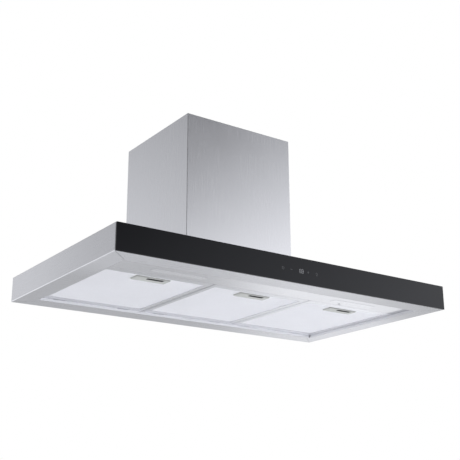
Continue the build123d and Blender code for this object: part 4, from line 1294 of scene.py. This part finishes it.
@dataclass
class TouchMarks:
    """Printed touch marks and a two-digit display on the glass.

    Attributes:
        height: Height of the marks above the glass's lower edge.
        depth: Thickness of the print.
        stroke: Width of the strokes.
        thin: Width of the rings' strokes.
        fine: Width of the lamp's two lower strokes.
        mark: Half the size of a mark.
        power_x: Middle of the power mark.
        less_x: Middle of the minus.
        display_x: Middle of the two digits.
        more_x: Middle of the plus.
        lamp_x: Middle of the lamp mark.
        digit: Width and height of a digit.
        digit_fill: Shares of them that a level and an upright stroke take up.
        digit_gap: Gap between the digits.
        ring_steps: Strokes round a ring.
        overlap: Length of such a stroke as a share of its step.
        ring_gap: Degrees that the power mark's ring leaves open.
    """

    height: float = 28.0 * MM
    depth: float = 0.08 * MM
    stroke: float = 0.8 * MM
    thin: float = 0.64 * MM
    fine: float = 0.48 * MM
    mark: float = 2.6 * MM
    power_x: float = -48.0 * MM
    less_x: float = -25.0 * MM
    display_x: float = 3.0 * MM
    more_x: float = 22.0 * MM
    lamp_x: float = 46.0 * MM
    digit: tuple[float, float] = (4.2 * MM, 8.4 * MM)
    digit_fill: tuple[float, float] = (0.8, 0.42)
    digit_gap: float = 2.2 * MM
    ring_steps: int = 20
    overlap: float = 1.08
    ring_gap: float = 70.0

    def build(self, print_finish: Material, glow: Material) -> None:
        """Model every mark.

        Args:
            print_finish: Finish of the printed marks.
            glow: Finish of the digits.
        """
        low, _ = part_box("front_glass")
        self._face = low.y + self.depth
        self._level = low.z + self.height
        mark, thin = self.mark, self.thin
        # each bar's z, width and height are shares of the marks' half size, or a stroke's width
        marks = [
            *self._ring(self.power_x, mark, self.ring_gap),
            self._bar(self.power_x, mark * 0.75, thin, mark * 1.1),
            self._bar(self.less_x, 0.0, mark * 2, self.stroke),
            self._bar(self.more_x, 0.0, mark * 2, self.stroke),
            self._bar(self.more_x, 0.0, self.stroke, mark * 2),
            *self._ring(self.lamp_x, mark * 0.85, 0.0),
            self._bar(self.lamp_x, -mark * 1.25, mark * 0.9, self.fine),
            self._bar(self.lamp_x, -mark * 1.6, mark * 0.6, self.fine),
        ]
        for name, strokes, finish in (
            ("touch_marks", marks, print_finish),
            ("display_digits", self._digits(), glow),
        ):
            piece = join(strokes, name)
            dress(piece, finish)
            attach(piece, "hood")

    def _bar(self, x: float, z: float, width: float, height: float) -> Piece:
        """A rectangular stroke at x and z from the marks' middle line."""
        centre = Vector((x, self._face - self.depth / 2, self._level + z))
        return add_block("stroke", Vector((width, self.depth, height)), centre)

    def _ring(self, x: float, radius: float, gap: float) -> list[Piece]:
        """Make short strokes round a circle that is open at its top.

        Args:
            x: x of its middle.
            radius: Radius of the strokes' middle line.
            gap: Degrees that stay open.

        Returns:
            The strokes.
        """
        step = (360.0 - gap) / self.ring_steps
        length = self.overlap * radius * math.radians(step)
        strokes = []
        for number in range(self.ring_steps):
            angle = math.radians(90.0 + gap / 2 + step * (number + 0.5))
            stroke = self._bar(0.0, 0.0, length, self.thin)
            turn = Matrix.Rotation(math.pi / 2 - angle, 4, "Y")
            home = Matrix.Translation((0.0, 0.0, -self._level))
            out = (x + radius * math.cos(angle), 0.0, self._level + radius * math.sin(angle))
            stroke.data.transform(Matrix.Translation(out) @ turn @ home)
            strokes.append(stroke)
        return strokes

    def _digits(self) -> list[Piece]:
        """Make two seven-segment eights.

        Returns:
            Their strokes.
        """
        width, height = self.digit
        level_length, upright_length = width * self.digit_fill[0], height * self.digit_fill[1]
        strokes = []
        for sign in (-1, 1):
            middle = self.display_x + sign * (width + self.digit_gap) / 2
            for level in (-height / 2, 0.0, height / 2):
                strokes.append(self._bar(middle, level, level_length, self.stroke))
            for side in (-width / 2, width / 2):
                for level in (-height / 4, height / 4):
                    strokes.append(self._bar(middle + side, level, self.stroke, upright_length))
        return strokes


# Studio


@dataclass(frozen=True)
class Slope:
    """A brightness that changes evenly with direction.

    Attributes:
        level: Brightness across the lean.
        lean: Change of brightness along x, y and z.
        low: Least brightness.
        high: Greatest brightness.
    """

    level: float
    lean: Triple
    low: float
    high: float

    def light(self, net: NodeNet, direction: Socket) -> Socket:
        """The brightness in a direction.

        Args:
            net: The world's nodes.
            direction: Direction socket.

        Returns:
            The brightness socket.
        """
        total = net.maths("ADD", net.lean(direction, self.lean), self.level)
        return net.add("Clamp", {"Value": total, "Min": self.low, "Max": self.high}).outputs[0]


@dataclass(frozen=True)
class SoftLamp:
    """A large square lamp that glossy surfaces don't show.

    Attributes:
        name: Name of the lamp.
        place: Where it stands.
        aim: The point that it faces.
        size: Length of its sides.
        power: Its power in watts.
    """

    name: str
    place: Triple
    aim: Triple
    size: float
    power: float

    def build(self) -> None:
        """Put the lamp in its place."""
        data = bpy.data.lights.new(self.name, "AREA")
        data.shape = "SQUARE"
        data.size = self.size
        data.energy = self.power
        lamp = bpy.data.objects.new(self.name, data)
        lamp.visible_glossy = False
        turn = (Vector(self.aim) - Vector(self.place)).to_track_quat("-Z", "Y").to_matrix().to_4x4()
        lamp.matrix_world = Matrix.Translation(self.place) @ turn
        bpy.context.scene.collection.objects.link(lamp)


@dataclass
class Studio:
    """Camera, lamps, world and floor.

    Attributes:
        camera_place: Place of the camera.
        heading: Its heading in degrees, from +Y towards +X.
        pitch: Its tilt upwards in degrees.
        roll: Its turn about its own axis in degrees.
        lens: Focal length in millimetres, for a sensor of 36 mm.
        matt_level: Brightness all round that matt surfaces see.
        room: Brightness that glossy surfaces see on the room's side.
        wall: The same on the wall's side, above the horizon.
        ground: The same on the wall's side, below the horizon.
        glow: Brightness of a glow low at the left, and the x between which it fades.
        patch_turn: Heading and drop of a bright patch in degrees.
        patch_spread: Radius of the patch in degrees.
        patch_light: Brightness of the patch.
        horizon: z of the directions between which ground turns to wall.
        side_light: Share of the brightness that is left at the right end.
        side_band: x of the directions between which it falls to that share.
        depth_band: y of the directions between which room turns to wall.
        ceiling: Brightness overhead.
        ceiling_band: z of the directions between which it turns to the ceiling's.
        floor_level: z of the floor.
        floor_radius: Radius of the floor.
        floor_fade: Distances from the middle between which the floor fades out.
        lamps: The lamps.
    """

    camera_place: Triple = (-1.2188, -1.9872, -0.6404)
    heading: float = 35.02
    pitch: float = 17.82
    roll: float = -0.197
    lens: float = 71.11
    matt_level: float = 0.80
    room: Slope = Slope(0.965, (3.50, 0.24, -5.62), 0.17, 2.0)
    wall: Slope = Slope(2.29, (1.0, 0.0, -3.0), 0.45, 0.93)
    ground: Slope = Slope(0.44, (0.40, 0.0, 0.0), 0.64, 0.72)
    glow: Triple = (0.45, -0.05, 0.30)
    patch_turn: tuple[float, float] = (42.0, 13.0)
    patch_spread: float = 9.0
    patch_light: float = 0.73
    horizon: tuple[float, float] = (-0.05, 0.05)
    side_light: float = 0.5
    side_band: tuple[float, float] = (0.74, 0.92)
    depth_band: tuple[float, float] = (-0.30, 0.30)
    ceiling: float = 0.95
    ceiling_band: tuple[float, float] = (0.48, 0.80)
    floor_level: float = -2.8
    floor_radius: float = 6.0
    floor_fade: tuple[float, float] = (2.2, 5.5)
    lamps: tuple[SoftLamp, ...] = (
        SoftLamp("key", (2.6, -3.0, 2.2), (0.0, -0.25, 0.0), 2.6, 60.0),
        SoftLamp("fill", (-3.2, -0.6, 1.2), (0.0, -0.25, 0.0), 2.6, 35.0),
        SoftLamp("low", (0.6, 0.3, -2.5), (0.6, 0.3, 0.0), 2.4, 34.0),
    )

    def build(self) -> None:
        """Set the whole studio up."""
        self._camera()
        self._world()
        self._floor()
        for lamp in self.lamps:
            lamp.build()
        bpy.context.scene.view_settings.view_transform = "Standard"

    @staticmethod
    def _towards(heading: float, rise: float) -> Vector:
        """The direction with a heading and a rise above the horizon, both in degrees."""
        turn, tilt = math.radians(heading), math.radians(rise)
        return Vector((math.sin(turn) * math.cos(tilt), math.cos(turn) * math.cos(tilt), math.sin(tilt)))

    def _camera(self) -> None:
        """Place the camera below the hood, at its left."""
        data = bpy.data.cameras.new("camera")
        data.lens = self.lens
        data.sensor_width = 36.0
        data.clip_start, data.clip_end = 0.05, 100.0
        camera = bpy.data.objects.new("camera", data)
        bpy.context.scene.collection.objects.link(camera)
        ahead = self._towards(self.heading, self.pitch)
        right = ahead.cross(Vector((0.0, 0.0, 1.0))).normalized()
        up = right.cross(ahead)
        cosine, sine = math.cos(math.radians(self.roll)), math.sin(math.radians(self.roll))
        axes = (cosine * right + sine * up, cosine * up - sine * right, -ahead)
        turn = Matrix(axes).transposed().to_4x4()
        camera.matrix_world = Matrix.Translation(self.camera_place) @ turn
        bpy.context.scene.camera = camera

    def _world(self) -> None:
        """Light from all round: plain for matt surfaces, and shaped by _glossy for glossy ones."""
        world = bpy.data.worlds.new("studio")
        world.use_nodes = True
        bpy.context.scene.world = world
        net = NodeNet(world.node_tree)
        net.tree.nodes.clear()
        matt, glossy, white = (
            net.add("Background", {"Color": (*colour, 1.0), "Strength": strength}).outputs[0]
            for colour, strength in (
                ((0.96, 0.98, 1.0), self.matt_level),
                ((0.97, 0.98, 1.0), self._glossy(net)),
                ((1.0, 1.0, 1.0), 1.0),
            )
        )
        rays = net.add("LightPath").outputs
        lit = net.add("MixShader", {0: rays["Is Glossy Ray"], 1: matt, 2: glossy}).outputs[0]
        seen = net.maths("MAXIMUM", rays["Is Camera Ray"], rays["Is Transmission Ray"])
        final = net.add("MixShader", {0: seen, 1: lit, 2: white}).outputs[0]
        net.add("OutputWorld", {"Surface": final})

    def _glossy(self, net: NodeNet) -> Socket:
        """The brightness that glossy surfaces see: room, wall, ground, glow, patch and ceiling.

        Args:
            net: The world's nodes.

        Returns:
            The brightness socket.
        """
        direction = net.add("TexCoord").outputs["Generated"]
        x, y, z = net.split(direction)
        room, wall, ground = (slope.light(net, direction) for slope in (self.room, self.wall, self.ground))
        glow_light, *glow_band = self.glow
        glow = net.ranged(x, glow_light, 0.0, *glow_band)
        heading, drop = self.patch_turn
        nearness = net.lean(direction, tuple(self._towards(heading, -drop)))
        patch = net.ranged(nearness, 0.0, self.patch_light, math.cos(math.radians(self.patch_spread)), 1.0)
        below = net.maths("ADD", net.maths("ADD", glow, patch), ground)
        behind = net.blend(net.ranged(z, 0.0, 1.0, *self.horizon), below, wall)
        before = net.maths("MULTIPLY", room, net.ranged(x, 1.0, self.side_light, *self.side_band))
        around = net.blend(net.ranged(y, 0.0, 1.0, *self.depth_band), before, behind)
        return net.blend(net.ranged(z, 0.0, 1.0, *self.ceiling_band), around, self.ceiling)

    def _floor(self) -> None:
        """Lay a wide pale floor well below the hood."""
        deselect_all()
        place = (0.0, 0.0, self.floor_level)
        bpy.ops.mesh.primitive_circle_add(
            vertices=64, radius=self.floor_radius, fill_type="NGON", location=place
        )
        floor = keep_primitive("floor")
        sheet = NodeSheet("floor")
        haze = sheet.ramp(sheet.noise(0.8, 2.0), (0.86, 0.86, 0.86), (0.89, 0.89, 0.89))
        radius = sheet.add("VectorMath", {0: sheet.scaled((1.0, 1.0, 0.0))}, operation="LENGTH")
        fade = sheet.ranged(radius.outputs["Value"], 1.0, 0.0, *self.floor_fade)
        sheet.shade(haze, 0.9, Alpha=fade)
        dress(floor, sheet.material)


# The hood


@dataclass
class Hood:
    """The dressed hood: the CAD nodes' finishes and the fine pieces.

    Attributes:
        rim_width: Width of the canopy's side rims.
        makers: Makers of what every filter bay has.
        glass: The front glass.
        marks: The marks on it.
    """

    rim_width: float = 44.0 * MM
    makers: tuple[BayMaker, ...] = field(default_factory=lambda: (StrandMesh(), GripPlate(), LatchSpring()))
    glass: GlassPane = field(default_factory=GlassPane)
    marks: TouchMarks = field(default_factory=TouchMarks)

    def __post_init__(self) -> None:
        """Make every finish once."""
        low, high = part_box("canopy_shell")
        rims = Rims(high.x, low.y, high.y, low.z, self.rim_width)
        # painted light and shade: the canopy's front rim lighter at the left and darker at the right, its
        # upright faces darker towards the front; the lamp panel lighter at the left, the filters and strands
        # lighter at the right
        canopy_painted_tones = {"painted_level_tones": (0.22, -0.29), "level_reach": -0.43, "painted_side_tones": (-0.17, 0.04)}
        upright_grain, fine_grain = (Grain.UPRIGHT, 3000.0), (Grain.LEVEL, 2500.0, 400.0)
        strand_grain = (Grain.LEVEL, 1500.0, 200.0)
        self.finishes: dict[str, Material] = {}
        for finish in (
            BrushedSteel("canopy_steel", 0.59, 0.29, edge=2.2 * MM, rims=rims, **canopy_painted_tones),
            BrushedSteel("panel_steel", 0.60, 0.20, edge=0.8 * MM, painted_level_tones=(0.12, -0.13)),
            BrushedSteel("chimney_steel", 0.645, 0.24, *upright_grain, contrast=0.008, relief=0.01),
            BrushedSteel("filter_steel", 0.72, 0.30, painted_level_tones=(-0.12, 0.13)),
            BrushedSteel("spring_steel", 0.50, 0.25, *upright_grain, 300.0, edge=0.1 * MM),
            BrushedSteel("screw_steel", 0.58, 0.28, *fine_grain, edge=0.2 * MM),
            BrushedSteel("strand_steel", 0.92, 0.36, *strand_grain, edge=0.0, painted_level_tones=(-0.06, 0.085)),
            BlackGlass(),
            Moulding("grip_grey", (0.400, 0.405, 0.397), 0.42, 1200.0, 0.15),
            Moulding("black_plastic", (0.022, 0.022, 0.024), 0.45),
            Moulding("white_plastic", (0.68, 0.68, 0.66), 0.48),
            Moulding("tape", (0.03, 0.03, 0.03), 0.85, 500.0, 0.5),
            Moulding("rubber", (0.02, 0.02, 0.02), 0.65, 1500.0, 0.3),
            Moulding("motor_paint", (0.10, 0.105, 0.115), 0.38, 700.0, 0.3),
            Moulding("display", (0.03, 0.03, 0.035), 0.25, 600.0, 0.05),
            Moulding("mark_print", (0.13, 0.13, 0.14), 0.5, 2500.0, 0.05),
            Moulding("digit_print", (0.30, 0.30, 0.32), 0.5, 2500.0, 0.05),
            Galvanised(),
            FineMesh(),
            CircuitBoard(),
            FrostedLens(),
        ):
            sheet = NodeSheet(finish.name)
            finish.paint(sheet)
            self.finishes[finish.name] = sheet.material

    def build(self) -> None:
        """Dress the nodes and add every piece."""
        self._dress_nodes()
        for maker in self.makers:
            self._fill_bays(maker)
        for node in ("canopy_screws", "chimney_bracket_screws", "blower_screws"):
            LOG.info("cross recesses of %s", node)
            ScrewSet(node).build(self.finishes["screw_steel"])
        LOG.info("glass and touch marks")
        self.glass.build(self.finishes["black_glass"])
        self.marks.build(self.finishes["mark_print"], self.finishes["digit_print"])

    def _fill_bays(self, maker: BayMaker) -> None:
        """Model what one maker makes in the first bay, and copy it to the others.

        Args:
            maker: The maker.
        """
        first, *others = Bay
        home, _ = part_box(first.of("filter_frame"))
        fills = {first: maker.shape(first)}
        for bay in others:
            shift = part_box(bay.of("filter_frame"))[0] - home
            fills[bay] = [
                copy_moved(model, model.name.replace(first.value, bay.value), shift)
                for model in fills[first]
            ]
        for bay, pieces in fills.items():
            LOG.info("%s of the %s filter", type(maker).__name__, bay.value)
            maker.settle(pieces, bay, self.finishes)

    def _dress_nodes(self) -> None:
        """Give every CAD node its finish, which is named after its slot or listed here."""
        by_slot = {"stainless": "canopy_steel", "grey_plastic": "grip_grey", "motor_metal": "motor_paint"}
        by_node = {
            "chimney_outer": "chimney_steel",
            "chimney_inner": "chimney_steel",
            "lamp_panel": "panel_steel",
        }
        slots = {part["node"]: part["material_slot"] for part in frame["record"]["subparts"]}
        for name, node in frame["nodes"].items():
            slot = slots[name]
            dress(node, self.finishes[by_node.get(name, by_slot.get(slot, slot))])


def main() -> None:
    """Build the hood and the studio."""
    logging.basicConfig(level=logging.INFO, format="%(name)s: %(message)s")
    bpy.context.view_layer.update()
    Hood().build()
    LOG.info("studio")
    Studio().build()
    deselect_all()


if __name__ == "__main__":
    main()
